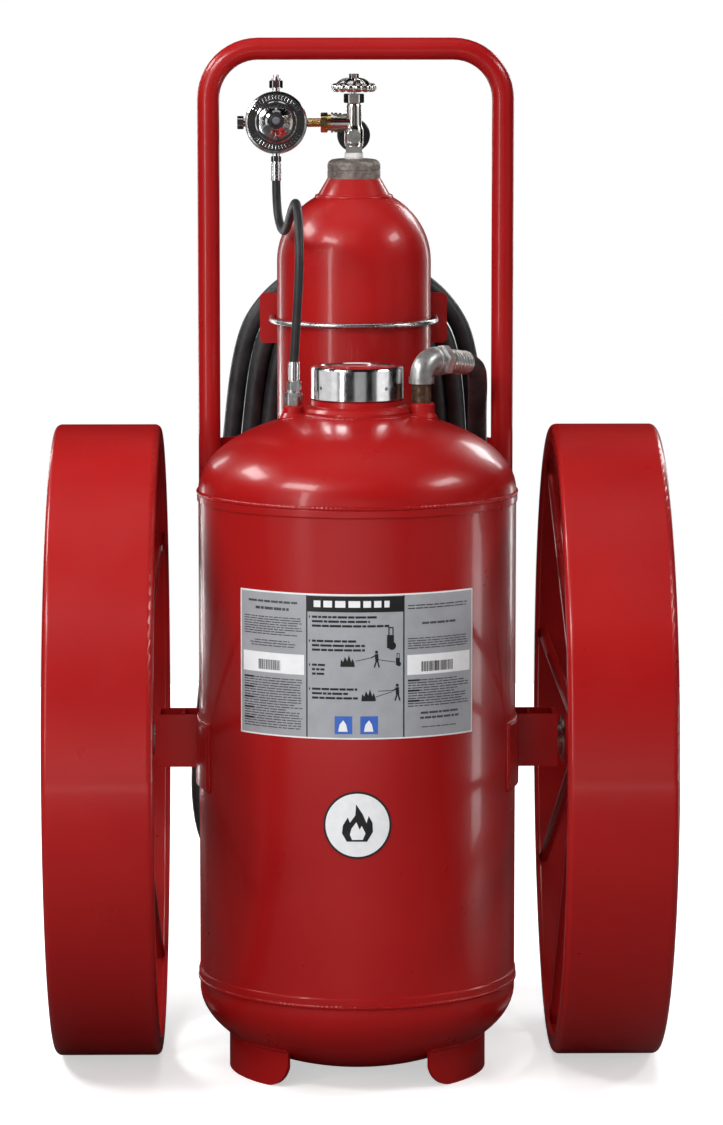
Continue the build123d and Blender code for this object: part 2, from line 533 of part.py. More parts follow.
# ---- nitrogen cylinder and its valve ----
def build_cylinder():
    low = SHELF_Z + SHELF_T
    a, h = CYL_R, CYL_DOME_H
    stop = degrees(asin(sqrt(1 - (55 / CYL_R) ** 2)))
    outer_dome = EllipticalCenterArc((0, CYL_DOME_Z), a, h, start_angle=0, arc_size=stop)
    dome_end = outer_dome @ 1
    inner_dome = EllipticalCenterArc((0, CYL_DOME_Z), a - CYL_T, h - CYL_T, start_angle=0,
                                     arc_size=80)
    inner_end = inner_dome @ 1
    outline = (
        Line((0, low), (a - 26, low)) + ThreePointArc((a - 26, low), (a - 7.6, low + 7.6), (a, low + 26))
        + Line((a, low + 26), (a, CYL_DOME_Z)) + outer_dome
        + Line(dome_end, (53.0, 1236)) + Line((53.0, 1236), (39.5, 1259))
        + Line((39.5, 1259), (24.0, 1259)) + Line((24.0, 1259), (24.0, 1280))
        + Line((24.0, 1280), (12.5, 1280)) + Line((12.5, 1280), (12.5, 1245))
        + Line((12.5, 1245), inner_end) + inner_dome
        + Line((a - CYL_T, CYL_DOME_Z), (a - CYL_T, low + 26))
        + ThreePointArc((a - CYL_T, low + 26), (a - 26 + 14.85, low + 11.15), (a - 26, low + CYL_T))
        + Line((a - 26, low + CYL_T), (0, low + CYL_T)) + Line((0, low + CYL_T), (0, low)))
    shell = revolve(make_face(Plane.XZ * outline), Axis.Z, 360)
    save("nitrogen_cylinder", Pos(0, CYL_Y, 0) * shell)

    ring = turned([(24, 1259), (39.3, 1259), (39.3, 1270), (38.4, 1271.2), (39.3, 1272.4),
                   (39.3, 1279), (37.5, 1283.5), (33, 1286.5), (27, 1287.5), (24, 1287.5)],
                  0, CYL_Y)
    save("cylinder_neck_ring", ring)

    neck = turned([(3.0, 1248), (12.5, 1248), (12.5, 1288), (13.2, 1297), (3.0, 1297)], 0, CYL_Y)
    foot = Pos(0, CYL_Y, 1301.5) * Box(24, 26, 9)
    lower = turned([(0, 1306), (13.0, 1306), (14.2, 1311), (14.2, 1331), (11.5, 1337),
                    (11.2, 1366), (10.0, 1370), (0, 1370)], 0, CYL_Y)
    side = rod(10.5, (0, CYL_Y, VALVE_Z), (-12, CYL_Y, VALVE_Z))
    for near, far, radius in ((-11, -16, 13.2), (-16, -18.5, 12.0), (-18.5, -22.5, 14.2),
                              (-22.5, -24.5, 12.6), (-24.5, -29, 14.6), (-29, -31, 13.2),
                              (-31, -34, 15.0)):
        side += rod(radius, (near, CYL_Y, VALVE_Z), (far, CYL_Y, VALVE_Z))
    front = rod(9.5, (0, CYL_Y, BURST_Z), (0, CYL_Y - 19, BURST_Z))
    rear = rod(8.0, (0, CYL_Y, BURST_Z), (0, CYL_Y + 20, BURST_Z))
    body = neck + foot + lower + side + front + rear
    body -= rod(7.5, (0, CYL_Y, 1325), (0, CYL_Y, 1371))
    body -= rod(3.0, (0, CYL_Y, 1240), (0, CYL_Y, 1330))
    body -= rod(4.0, (-5, CYL_Y, VALVE_Z), (-40, CYL_Y, VALVE_Z))
    body -= rod(8.0, (-20, CYL_Y, VALVE_Z), (-40, CYL_Y, VALVE_Z))
    body -= rod(6.0, (0, CYL_Y - 9, BURST_Z), (0, CYL_Y - 30, BURST_Z))
    body -= rod(2.0, (0, CYL_Y, BURST_Z), (0, CYL_Y + 30, BURST_Z))
    save("cylinder_valve_body", body)

    plug = rod(7.1, (0, CYL_Y, 1325.3), (0, CYL_Y, 1341.3))
    plug -= rod(3.4, (0, CYL_Y, 1333), (0, CYL_Y, 1342))
    save("valve_seat_plug", plug)

    nut = hexagon(27.0, (0, CYL_Y, 1370), (0, CYL_Y, 1383.6))
    nut += rod(7.5, (0, CYL_Y, 1360), (0, CYL_Y, 1370))
    nut -= rod(4.05, (0, CYL_Y, 1355), (0, CYL_Y, 1390))
    save("valve_packing_nut", nut)

    stem = rod(4.0, (0, CYL_Y, 1352), (0, CYL_Y, 1404))
    stem += rod(3.0, (0, CYL_Y, 1338.5), (0, CYL_Y, 1353))
    stem += hexagon(13.0, (0, CYL_Y, 1404), (0, CYL_Y, 1413))
    save("valve_stem", stem)

    wheel = turned([(4.0, 1386.5), (9.5, 1386.5), (10.5, 1392), (20, 1392), (27, 1387.5),
                    (29, 1386), (33.2, 1386), (34.2, 1388), (34.2, 1392.5), (32.5, 1395.5),
                    (26, 1398.5), (14, 1402), (11, 1404), (4.0, 1404)], 0, CYL_Y)
    for number in range(14):
        angle = radians(number * 360 / 14)
        x, y = 36.4 * cos(angle), CYL_Y + 36.4 * sin(angle)
        wheel -= rod(4.2, (x, y, 1380), (x, y, 1400))
    for number in range(5):
        angle = radians(number * 72 + 18)
        x, y = 19.5 * cos(angle), CYL_Y + 19.5 * sin(angle)
        wheel -= rod(5.0, (x, y, 1380), (x, y, 1410))
    save("handwheel", wheel)

    burst = rod(6.0, (0, CYL_Y - 12, BURST_Z), (0, CYL_Y - 19, BURST_Z))
    burst += hexagon(19.5, (0, CYL_Y - 19, BURST_Z), (0, CYL_Y - 25, BURST_Z))
    burst += rod(8.2, (0, CYL_Y - 25, BURST_Z), (0, CYL_Y - 27, BURST_Z))
    burst -= rod(3.8, (0, CYL_Y - 21, BURST_Z), (0, CYL_Y - 30, BURST_Z))
    save("burst_disc_plug", burst)

    back = CYL_Y + 20
    case = rod(5.5, (0, back, BURST_Z), (0, back + 8, BURST_Z))
    drum = rod(24.5, (0, back + 8, BURST_Z), (0, back + 30, BURST_Z))
    drum = fillet(drum.edges().group_by(Axis.Y)[0], 2.5)
    case += drum
    case -= rod(21.5, (0, back + 24, BURST_Z), (0, back + 40, BURST_Z))
    case += rod(1.5, (0, back + 23, BURST_Z), (0, back + 28.5, BURST_Z))
    save("gauge_case", case)
    needle_y = back + 25.4
    needle = rod(3.2, (0, needle_y, BURST_Z), (0, needle_y + 1.8, BURST_Z))
    blade = make_face(Plane.XZ * Polyline((-1.3, -7), (1.3, -7), (0.5, 17), (-0.5, 17), close=True))
    needle += Pos(0, needle_y + 1.4, BURST_Z) * Rot(0, -54, 0) * extrude(blade, 1.0)
    needle -= rod(1.55, (0, needle_y - 2, BURST_Z), (0, needle_y + 6, BURST_Z))
    save("gauge_needle", needle)
    save("gauge_lens", rod(21.5, (0, back + 28.6, BURST_Z), (0, back + 29.8, BURST_Z)))


# ---- regulator ----
def build_regulator():
    place = Pos(REG_X, CYL_Y, VALVE_Z) * Rot(-REG_TILT, 0, 0)

    def spun(points):
        """A body of revolution about the regulator's axis, from (radius, distance ahead)."""
        face = make_face(Plane.XY * Polyline(*[(r, -y) for r, y in points], close=True))
        return revolve(face, Axis.Y, 360)

    body = spun([(0, -24), (30, -24), (35, -21), (38, -15), (44.5, -13), (46, -11), (46, 4),
                 (45, 6), (42.5, 7), (0, 7)])
    body -= spun([(0, -10), (33, -10), (33, 2.4), (0, 2.4)])
    body -= spun([(0, 2), (31, 2), (31, 8), (0, 8)])
    body += spun([(6, -24), (12, -24), (12, -27), (6, -27)])
    body -= rod(4.0, (30, 0, 0), (50, 0, 0))
    save("regulator_body", place * body)

    bonnet = spun([(9, 2), (30.9, 2), (30.9, 9.5), (29.5, 11), (26.5, 11), (24.5, 17), (20, 26),
                   (16, 32), (13.5, 35), (12.2, 38), (9, 38)])
    facets = extrude(Plane(origin=(0, -11, 0), x_dir=(0, 0, 1), z_dir=(0, -1, 0))
                     * RegularPolygon(24.6, 6, major_radius=False), 30)
    ring = spun([(9, 2), (30.9, 2), (30.9, 9.5), (29.5, 11), (9, 11)])
    bonnet = ring + (bonnet & facets)
    bonnet -= spun([(0, 0), (24, 0), (24, 5), (17, 18), (11, 31), (0, 31)])
    save("regulator_bonnet", place * bonnet)

    save("regulator_diaphragm", place * spun([(0, -1.5), (32.4, -1.5), (32.4, 1.5), (0, 1.5)]))

    turns, wire, coil_r = 5, 1.3, 7.6
    pitch = 4.4
    helix = Helix(pitch=pitch, height=turns * pitch, radius=coil_r)
    section = Plane(origin=helix @ 0, z_dir=helix % 0) * Circle(wire)
    spring = sweep(section, path=helix, is_frenet=True)
    spring = Pos(0, -3.2, 0) * Rot(90, 0, 0) * spring
    save("regulator_spring", place * spring)

    cap = spun([(0, 33), (8.9, 33), (8.9, 40.5), (7.6, 42), (0, 42)])
    save("regulator_cap", place * cap)

    relief = rod(5.5, (0, 0, 44.6), (0, 0, 51)) + hexagon(18.0, (0, 0, 51), (0, 0, 62))
    relief += rod(7.0, (0, 0, 62), (0, 0, 65)) + rod(4.5, (0, 0, 65), (0, 0, 70.5))
    for turn in (0, 90):
        relief -= Rot(0, 0, turn) * Pos(0, 0, 70) * Box(12, 1.8, 4)
    plug = rod(6.0, (-44.6, 0, 0), (-48, 0, 0)) + hexagon(17.5, (-48, 0, 0), (-57.5, 0, 0))
    plug -= rod(3.0, (-52, 0, 0), (-60, 0, 0))
    outlet = rod(5.8, (0, 0, -44.6), (0, 0, -50)) + hexagon(13.5, (0, 0, -50), (0, 0, -58))
    cutter = spun([(0, -14), (46, -14), (46, 8), (0, 8)])
    fittings = [piece - cutter for piece in (relief, plug, outlet)]
    save("regulator_fittings", place * group(*fittings))

    nipple = rod(6.3, (45, 0, 0), (77, 0, 0)) - rod(3.0, (40, 0, 0), (80, 0, 0))
    nipple = nipple - cutter
    nipple += rod(7.9, (77, 0, 0), (88, 0, 0)) - rod(3.0, (70, 0, 0), (90, 0, 0))
    nut = hexagon(26.5, (66, 0, 0), (76.5, 0, 0)) + rod(12.0, (76.5, 0, 0), (81.3, 0, 0))
    nut -= rod(6.35, (60, 0, 0), (77.2, 0, 0))
    nut -= rod(8.0, (77.0, 0, 0), (90, 0, 0))
    save("regulator_inlet_union", place * group(nipple, nut))

    tip = place * Pos(0, 0, -86)
    top_ferrule = rod(7.6, (0, 0, -60.5), (0, 0, -86)) + rod(6.2, (0, 0, -58), (0, 0, -60.5))
    top_ferrule = place * top_ferrule
    print("regulator hose leaves at", [round(v, 1) for v in tip.position])
    foot_x = -PORT_X + 1.4
    lower_ferrule = rod(8.2, (foot_x, TANK_Y, 990.5), (foot_x, TANK_Y, 1016))
    lower_ferrule += rod(6.0, (foot_x, TANK_Y, 988), (foot_x, TANK_Y, 990.5))
    ferrules = group(top_ferrule, lower_ferrule)
    save("gas_hose_ferrules", ferrules)
    save("gas_hose", hose("gas hose", GAS_ROUTE, GAS_HOSE_R) - ferrules)
    check = rod(8.0, (-PORT_X, TANK_Y, 936), (-PORT_X, TANK_Y, 954.5))
    check += hexagon(24.0, (-PORT_X, TANK_Y, 954.0), (-PORT_X, TANK_Y, 972.5))
    check += rod(8.5, (-PORT_X, TANK_Y, 972.5), (-PORT_X, TANK_Y, 976))
    check += hexagon(19.0, (foot_x, TANK_Y, 976), (foot_x, TANK_Y, 988))
    check -= rod(3.5, (-PORT_X, TANK_Y, 930), (-PORT_X, TANK_Y, 980))
    save("inlet_check_valve", check)


# ---- discharge outlet, hose and nozzle ----
def outlet_direction():
    turn, drop = radians(ELBOW_TURN), radians(ELBOW_DROP)
    return Vector(cos(turn) * cos(drop), sin(turn) * cos(drop), -sin(drop))


def build_outlet():
    nipple = pipe(OUTLET_PIPE_R, OUTLET_PIPE_BORE, (PORT_X, TANK_Y, 943), (PORT_X, TANK_Y, 993))
    save("outlet_nipple", nipple)
    corner = Vector(PORT_X, TANK_Y, ELBOW_Z)
    along = outlet_direction()
    low = Vector(PORT_X, TANK_Y, 985)
    end = corner + along * 37
    path = FilletPolyline(tuple(low), tuple(corner), tuple(end), radius=24)
    start = Plane(origin=low, z_dir=(0, 0, 1))
    elbow = sweep(start * Circle(16.4), path=path)
    elbow += rod(18.2, tuple(low), (PORT_X, TANK_Y, 994))
    elbow += rod(18.2, tuple(corner + along * 28), tuple(end))
    bore = sweep(start * Circle(11.0), path=path)
    bore += rod(OUTLET_PIPE_R, tuple(low), (PORT_X, TANK_Y, 993))
    elbow -= bore
    save("outlet_elbow", elbow)
    collar_end, hose_end = corner + along * 55, corner + along * 103
    coupling = rod(10.9, tuple(end - along * 8), tuple(end))
    coupling += hexagon(33.0, tuple(end), tuple(collar_end))
    coupling += rod(15.2, tuple(collar_end), tuple(collar_end + along * 4))
    coupling += rod(16.6, tuple(collar_end + along * 4), tuple(hose_end))
    coupling -= rod(9.5, tuple(end - along * 10), tuple(hose_end - along * 12))
    save("discharge_coupling", coupling)
    print("discharge hose leaves at", [round(v, 1) for v in tuple(hose_end)])
    return coupling


def stadium(shrink):
    """The coil's outline in the XZ plane, smaller by shrink: two bends and their tangents."""
    x1, z1, r1 = COIL_LOW
    x2, z2, r2 = COIL_HIGH
    r1, r2 = r1 - shrink, r2 - shrink
    gap = hypot(x2 - x1, z2 - z1)
    lean = atan2(x2 - x1, z2 - z1)
    spread = asin((r1 - r2) / gap)
    points = []
    for side in (1, -1):
        tilt = lean + side * (radians(90) - spread)
        points.append([(x1 + r1 * sin(tilt), z1 + r1 * cos(tilt)),
                       (x2 + r2 * sin(tilt), z2 + r2 * cos(tilt))])
    right, left = points
    bottom = (x1 - r1 * sin(lean), z1 - r1 * cos(lean))
    top = (x2 + r2 * sin(lean), z2 + r2 * cos(lean))
    edges = (ThreePointArc(left[0], bottom, right[0]) + Line(right[0], right[1])
             + ThreePointArc(right[1], top, left[1]) + Line(left[1], left[0]))
    return make_face(Plane.XZ * edges)


def build_discharge_hose(coupling, nozzle_inlet):
    """The wound coil, the stretch that leads to it and the stretch that leaves it."""
    ring = stadium(0) - stadium(COIL_THICK)
    coil = Pos(0, COIL_FRONT, 0) * extrude(ring, -4 * HOSE_R)
    save("discharge_hose_coil", coil)
    save("discharge_hose_lead", hose("discharge lead", LEAD_ROUTE, HOSE_R) - coil - coupling)
    save("discharge_hose_tail", hose("discharge tail", TAIL_ROUTE, HOSE_R) - coil - nozzle_inlet)


def build_nozzle():
    x, y, z = NOZZLE_X, NOZZLE_Y, NOZZLE_LOW
    coupling = rod(16.6, (x, y, z), (x, y, z + 40)) + rod(14.0, (x, y, z + 40), (x, y, z + 44))
    coupling += hexagon(36.0, (x, y, z + 44), (x, y, z + 60))
    coupling -= rod(NOZZLE_BORE, (x, y, z + 10), (x, y, z + 70))
    save("nozzle_coupling", coupling)
    ball_z = z + 88
    body = turned([(NOZZLE_BORE, z + 60), (19, z + 60), (24.5, z + 68), (24.5, z + 108), (19, z + 117),
                   (18, z + 122), (18, z + 128), (NOZZLE_BORE, z + 128)], x, y)
    body -= Pos(x, y, ball_z) * Sphere(15.4)
    body -= rod(LEVER_SHAFT_R + 0.05, (x - 40, y, ball_z), (x + 40, y, ball_z))
    save("nozzle_valve", body)
    barrel = turned([(NOZZLE_BORE, z + 128), (18, z + 128), (19.5, z + 132), (19.5, z + 150),
                     (17, z + 156), (16.5, z + 280), (20.5, z + 288), (20.5, z + 300),
                     (18.5, z + 302), (15.5, z + 302), (12, z + 280), (NOZZLE_BORE, z + 180)], x, y)
    save("nozzle_barrel", barrel)
    ball = Pos(x, y, ball_z) * Sphere(15.0)
    ball -= rod(NOZZLE_BORE, (x, y - 30, ball_z), (x, y + 30, ball_z))
    shaft = rod(LEVER_SHAFT_R, (x - 31.5, y, ball_z), (x - 13, y, ball_z))
    shaft += rod(LEVER_SHAFT_R, (x + 13, y, ball_z), (x + 31.5, y, ball_z))
    save("nozzle_ball", ball + shaft)
    arms = []
    for side in (1, -1):
        outline = make_face(Plane.YZ * (Polyline((-9, -11), (9, -11), (39, 78), (39, 96),
                                                 (27, 96), (27, 84), (-9, 12), close=True)))
        arm = Pos(x + side * 28.5 - 2.5, y, ball_z) * extrude(outline, 5)
        arm -= rod(LEVER_SHAFT_R, (x - 40, y, ball_z), (x + 40, y, ball_z))
        arms.append(arm)
    grip = rod(8.5, (x - 31, y + 33, ball_z + 90), (x + 31, y + 33, ball_z + 90))
    save("nozzle_lever", arms[0] + arms[1] + grip)
    clip_z = z + 235
    clip = arc_plate(17.3, 3, clip_z - 15, clip_z + 15, -225, 45, x, y)
    stalk_y = y - 18
    arm = Pos((x - 30) / 2, POST_BACK + 2, clip_z) * Box(abs(x), 4, 30)
    stub = Pos(x, (stalk_y + POST_BACK) / 2, clip_z) * Box(12, stalk_y - POST_BACK, 30)
    stub -= Pos(x, y, clip_z) * Cylinder(17.3, 60)
    save("nozzle_clip", clip + (arm + stub))
    return coupling


tank_form = build_tank()
build_tank_fittings(tank_form)
build_fill_cap()
build_brackets()
build_wheel(1, "right")
build_wheel(-1, "left")
build_frame()
build_cylinder()
build_regulator()
outlet_coupling = build_outlet()
nozzle_coupling = build_nozzle()
build_discharge_hose(outlet_coupling, nozzle_coupling)
print("nodes", len(volumes))
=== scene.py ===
"""The looks of a wheeled dry-powder fire extinguisher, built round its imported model.

Everything is in metres in the model's own frame: +Z up, the front faces -Y, and the wheels turn about the
line Y = 0. The camera, the materials, the hoses, the added pieces and the studio each have a section.
"""
import json
import math
import random

import bmesh
import bpy
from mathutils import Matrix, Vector

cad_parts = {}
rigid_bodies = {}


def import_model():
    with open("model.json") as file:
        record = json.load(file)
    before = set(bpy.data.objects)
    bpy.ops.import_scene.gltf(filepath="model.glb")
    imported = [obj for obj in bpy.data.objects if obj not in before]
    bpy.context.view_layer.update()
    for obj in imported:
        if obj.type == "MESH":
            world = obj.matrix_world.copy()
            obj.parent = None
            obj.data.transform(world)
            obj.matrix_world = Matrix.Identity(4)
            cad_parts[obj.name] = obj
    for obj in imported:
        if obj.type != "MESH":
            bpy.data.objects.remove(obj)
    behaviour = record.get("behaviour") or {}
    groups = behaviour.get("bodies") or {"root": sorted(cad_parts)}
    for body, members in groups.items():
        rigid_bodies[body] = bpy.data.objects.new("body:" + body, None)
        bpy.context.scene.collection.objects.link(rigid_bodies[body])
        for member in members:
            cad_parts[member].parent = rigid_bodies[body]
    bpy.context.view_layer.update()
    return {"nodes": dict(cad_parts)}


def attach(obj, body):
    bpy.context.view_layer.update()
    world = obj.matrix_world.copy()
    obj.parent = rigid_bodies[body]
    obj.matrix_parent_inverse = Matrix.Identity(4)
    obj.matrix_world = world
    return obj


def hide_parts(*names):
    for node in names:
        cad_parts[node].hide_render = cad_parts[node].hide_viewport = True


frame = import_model()
NODES = frame["nodes"]

# ---- sizes that repeat the model's own ----
TANK_Y = -0.105
TANK_R = 0.226
TANK_TOP_EDGE = 0.835  # where the curved ends start
TANK_LOW_EDGE = 0.119
HEAD_RISE = 0.113  # and how far they rise
PORT_X = 0.091  # the outlet's distance from the tank's middle, and the gas inlet's
CYL_Y = 0.2385
HOSE_R = 0.014
GAS_HOSE_R = 0.0064
SIDEWAYS = Vector((1.0, 0.0, 0.0))
UPWARD = Vector((0.0, 0.0, 1.0))

# the regulator's centre, and its own forward and upward directions
REGULATOR_AT = Vector((-0.1153, CYL_Y, 1.341))
REGULATOR_TILT = math.radians(6.0)
REGULATOR_AHEAD = Vector((0.0, -math.cos(REGULATOR_TILT), math.sin(REGULATOR_TILT)))
REGULATOR_UP = Vector((0.0, math.sin(REGULATOR_TILT), math.cos(REGULATOR_TILT)))

# the outlet elbow's corner, and the way that the hose leaves it
ELBOW_AT = Vector((PORT_X, TANK_Y, 1.020))
OUTLET_TURN = math.radians(50.0)
OUTLET_DROP = math.radians(7.0)
OUTLET_ALONG = Vector((math.cos(OUTLET_TURN) * math.cos(OUTLET_DROP),
                       math.sin(OUTLET_TURN) * math.cos(OUTLET_DROP), -math.sin(OUTLET_DROP)))

# the regulator's hose, from its ferrule to the one on the tank
GAS_ROUTE = [
    (-0.1153, 0.2295, 1.2554), (-0.1150, 0.2250, 1.2200), (-0.1100, 0.2000, 1.1900),
    (-0.1030, 0.1530, 1.1830), (-0.0970, 0.1020, 1.2000), (-0.0910, 0.0480, 1.2260),
    (-0.0860, -0.0080, 1.2380), (-0.0830, -0.0600, 1.2220), (-0.0815, -0.0920, 1.1800),
    (-0.0825, -0.1040, 1.1280), (-0.0860, -0.1055, 1.0730), (-0.0896, -0.1050, 1.0160),
]
# the discharge hose, from the outlet coupling down to the coil
LEAD_ROUTE = [
    (0.1564, -0.0267, 1.0075), (0.1720, -0.0070, 1.0025), (0.1770, 0.0350, 0.9750),
    (0.1775, 0.0800, 0.9270), (0.1800, 0.1250, 0.8660), (0.1850, 0.1720, 0.8000),
    (0.1915, 0.2220, 0.7350), (0.1990, 0.2750, 0.6730), (0.2050, 0.3280, 0.6100),
    (0.2065, 0.3760, 0.5450), (0.2060, 0.4020, 0.4750),
]
# and from the coil up into the nozzle
TAIL_ROUTE = [
    (0.0600, 0.4145, 0.1605), (0.0040, 0.4140, 0.1710), (-0.0400, 0.4145, 0.2070),
    (-0.0640, 0.4150, 0.2590), (-0.0705, 0.4145, 0.3250), (-0.0700, 0.4140, 0.4000),
]
COIL_LOW = (-0.008, 0.315, 0.243)  # x, z, outer radius of the coil's bottom bend
COIL_HIGH = (0.004, 0.945, 0.192)  # the same for the top bend
COIL_FRONT_Y = 0.400
COIL_BACK_Y = 0.428
COIL_LAYERS = [  # each turn's depth inside the coil's outline, and its row
    (0.014, COIL_FRONT_Y), (0.014, COIL_BACK_Y), (0.042, COIL_BACK_Y),
    (0.042, COIL_FRONT_Y), (0.070, COIL_FRONT_Y), (0.070, COIL_BACK_Y),
]
RUN_OUT_DEPTH = 0.084  # the same depth for the run that leaves the last turn


# ---- camera ----
CAMERA_AT = (-0.0919, -6.5919, 1.5870)
CAMERA_TILT = -0.1315  # down from level, in radians
CAMERA_TURN = 0.0151  # to the right of straight ahead
SENSOR_HEIGHT = 36.0
LENS_PER_SENSOR = 4.0825


def add_camera():
    """The photo's own view."""
    data = bpy.data.cameras.new("camera")
    data.sensor_fit = "VERTICAL"
    data.sensor_height = SENSOR_HEIGHT
    data.lens = SENSOR_HEIGHT * LENS_PER_SENSOR
    data.clip_end = 60.0
    camera = bpy.data.objects.new("camera", data)
    camera.location = CAMERA_AT
    camera.rotation_euler = (math.pi / 2 + CAMERA_TILT, 0.0, -CAMERA_TURN)
    bpy.context.scene.collection.objects.link(camera)
    bpy.context.scene.camera = camera


add_camera()


# ---- materials ----
class Shader:
    """A material with a Principled shader and short ways to add texture nodes to it."""

    def __init__(self, name, colour, metallic=0.0, roughness=0.5, **sockets):
        self.material = bpy.data.materials.new(name)
        self.material.use_nodes = True
        self.tree = self.material.node_tree
        self.shader = self.tree.nodes["Principled BSDF"]
        self.set("Base Color", (*colour, 1.0))
        self.set("Metallic", metallic)
        self.set("Roughness", roughness)
        for key, value in sockets.items():
            self.set(key.replace("_", " "), value)
        self.place = self.node("ShaderNodeTexCoord").outputs["Object"]
        self.normal = None  # the last bump's

    def set(self, socket, value):
        self.shader.inputs[socket].default_value = value

    def node(self, kind, **sockets):
        """A new node, with values for its sockets."""
        made = self.tree.nodes.new(kind)
        for key, value in sockets.items():
            made.inputs[key.replace("_", " ")].default_value = value
        return made

    def link(self, output, target):
        self.tree.links.new(output, target)

    def noise(self, scale, detail, rough):
        made = self.node("ShaderNodeTexNoise", Scale=scale, Detail=detail, Roughness=rough)
        self.link(self.place, made.inputs["Vector"])
        return made.outputs["Fac"]

    def cells(self, scale):
        made = self.node("ShaderNodeTexVoronoi", Scale=scale)
        self.link(self.place, made.inputs["Vector"])
        return made.outputs["Distance"]

    def colour(self, source, stops):
        """Colour by a texture: each stop is a value and the colour that it gives."""
        made = self.node("ShaderNodeValToRGB")
        elements = made.color_ramp.elements
        while len(elements) < len(stops):
            elements.new(0.5)
        for element, (at, colour) in zip(elements, stops):
            element.position = at
            element.color = (*colour, 1.0)
        self.link(source, made.inputs["Fac"])
        self.link(made.outputs["Color"], self.shader.inputs["Base Color"])

    def rough(self, source, low, high):
        """Roughness by a texture, whose middle values spread over the span."""
        span = self.node("ShaderNodeMapRange", From_Min=0.3, From_Max=0.7, To_Min=low, To_Max=high)
        self.link(source, span.inputs["Value"])
        self.link(span.outputs["Result"], self.shader.inputs["Roughness"])

    def bump(self, source, depth, strength):
        """Bumps add up: each new one takes the last one's normal."""
        made = self.node("ShaderNodeBump", Distance=depth, Strength=strength)
        self.link(source, made.inputs["Height"])
        if self.normal is not None:
            self.link(self.normal, made.inputs["Normal"])
        self.normal = made.outputs["Normal"]
        self.link(self.normal, self.shader.inputs["Normal"])


def red_paint(name, deep, bright, peel=0.0003, gloss=0.3):
    """Sprayed gloss enamel: slow shade changes, fine orange peel and a few duller patches."""
    paint = Shader(name, bright, roughness=gloss, Coat_Weight=0.3, Coat_Roughness=0.1, IOR=1.4)
    paint.colour(paint.noise(3.2, 3.0, 0.5), [(0.3, deep), (0.7, bright)])
    paint.rough(paint.noise(12.0, 4.0, 0.6), gloss - 0.03, gloss + 0.07)
    paint.bump(paint.noise(300.0, 2.0, 0.5), peel, 0.45)
    paint.bump(paint.noise(13.0, 1.0, 0.4), 0.0006, 0.1)
    return paint.material


def plated(name, low, high, rough_low, rough_high, grain=0.00008):
    """Bright metal between two shades, with faint grain."""
    metal = Shader(name, high, metallic=1.0, roughness=rough_low)
    metal.colour(metal.noise(60.0, 4.0, 0.6), [(0.3, low), (0.7, high)])
    metal.rough(metal.noise(110.0, 5.0, 0.7), rough_low, rough_high)
    metal.bump(metal.noise(700.0, 3.0, 0.6), grain, 0.4)
    return metal.material


def galvanised(name):
    """Hot-dip zinc: dull grey, lumpy and crystalline."""
    zinc = Shader(name, (0.5, 0.5, 0.49), metallic=0.85, roughness=0.42)
    zinc.colour(zinc.noise(90.0, 5.0, 0.7), [(0.3, (0.34, 0.34, 0.335)), (0.7, (0.66, 0.66, 0.64))])
    zinc.rough(zinc.noise(70.0, 4.0, 0.7), 0.3, 0.52)
    zinc.bump(zinc.cells(160.0), 0.00025, 0.35)
    zinc.bump(zinc.noise(420.0, 3.0, 0.6), 0.0003, 0.5)
    return zinc.material


def cast_steel(name):
    """Brown-grey steel with a rough skin."""
    steel = Shader(name, (0.35, 0.3, 0.27), metallic=0.75, roughness=0.55)
    steel.colour(steel.noise(130.0, 6.0, 0.7),
                 [(0.3, (0.16, 0.13, 0.115)), (0.55, (0.36, 0.32, 0.29)), (0.75, (0.52, 0.49, 0.46))])
    steel.rough(steel.noise(200.0, 4.0, 0.7), 0.42, 0.68)
    steel.bump(steel.noise(380.0, 5.0, 0.7), 0.0007, 0.7)
    return steel.material


def brass(name):
    metal = Shader(name, (0.76, 0.52, 0.2), metallic=1.0, roughness=0.24)
    metal.colour(metal.noise(80.0, 4.0, 0.6), [(0.3, (0.52, 0.33, 0.12)), (0.7, (0.84, 0.6, 0.26))])
    metal.rough(metal.noise(150.0, 4.0, 0.6), 0.18, 0.34)
    metal.bump(metal.noise(600.0, 2.0, 0.5), 0.0001, 0.4)
    return metal.material


def bronze(name):
    """The dull brown nipple under the outlet elbow."""
    metal = Shader(name, (0.3, 0.19, 0.12), metallic=0.85, roughness=0.4)
    metal.colour(metal.noise(150.0, 5.0, 0.7), [(0.3, (0.07, 0.045, 0.03)), (0.7, (0.3, 0.2, 0.13))])
    metal.rough(metal.noise(200.0, 4.0, 0.6), 0.3, 0.55)
    metal.bump(metal.noise(500.0, 3.0, 0.5), 0.0003, 0.5)
    return metal.material


def hose_rubber(name, dust):
    """Wrapped rubber cover: cloth impression, handling dust and a soft sheen."""
    rubber = Shader(name, (0.02, 0.02, 0.022), roughness=0.42, Specular_IOR_Level=0.45)
    rubber.colour(rubber.noise(22.0, 6.0, 0.7),
                  [(0.35, (0.012, 0.012, 0.014)), (0.72, (dust, dust, dust * 1.05))])
    rubber.rough(rubber.noise(60.0, 4.0, 0.7), 0.34, 0.56)
    rubber.bump(rubber.noise(900.0, 2.0, 0.5), 0.0004, 0.6)
    rubber.bump(rubber.noise(60.0, 2.0, 0.5), 0.0009, 0.25)
    return rubber.material


def matte(name, low, high, rough, scale=60.0, depth=0.0003):
    """A plain coat, plastic or print between two shades."""
    plain = Shader(name, high, roughness=rough)
    plain.colour(plain.noise(scale, 4.0, 0.6), [(0.3, low), (0.7, high)])
    plain.rough(plain.noise(scale * 2, 4.0, 0.6), rough - 0.08, rough + 0.1)
    plain.bump(plain.noise(scale * 8, 3.0, 0.6), depth, 0.4)
    return plain.material


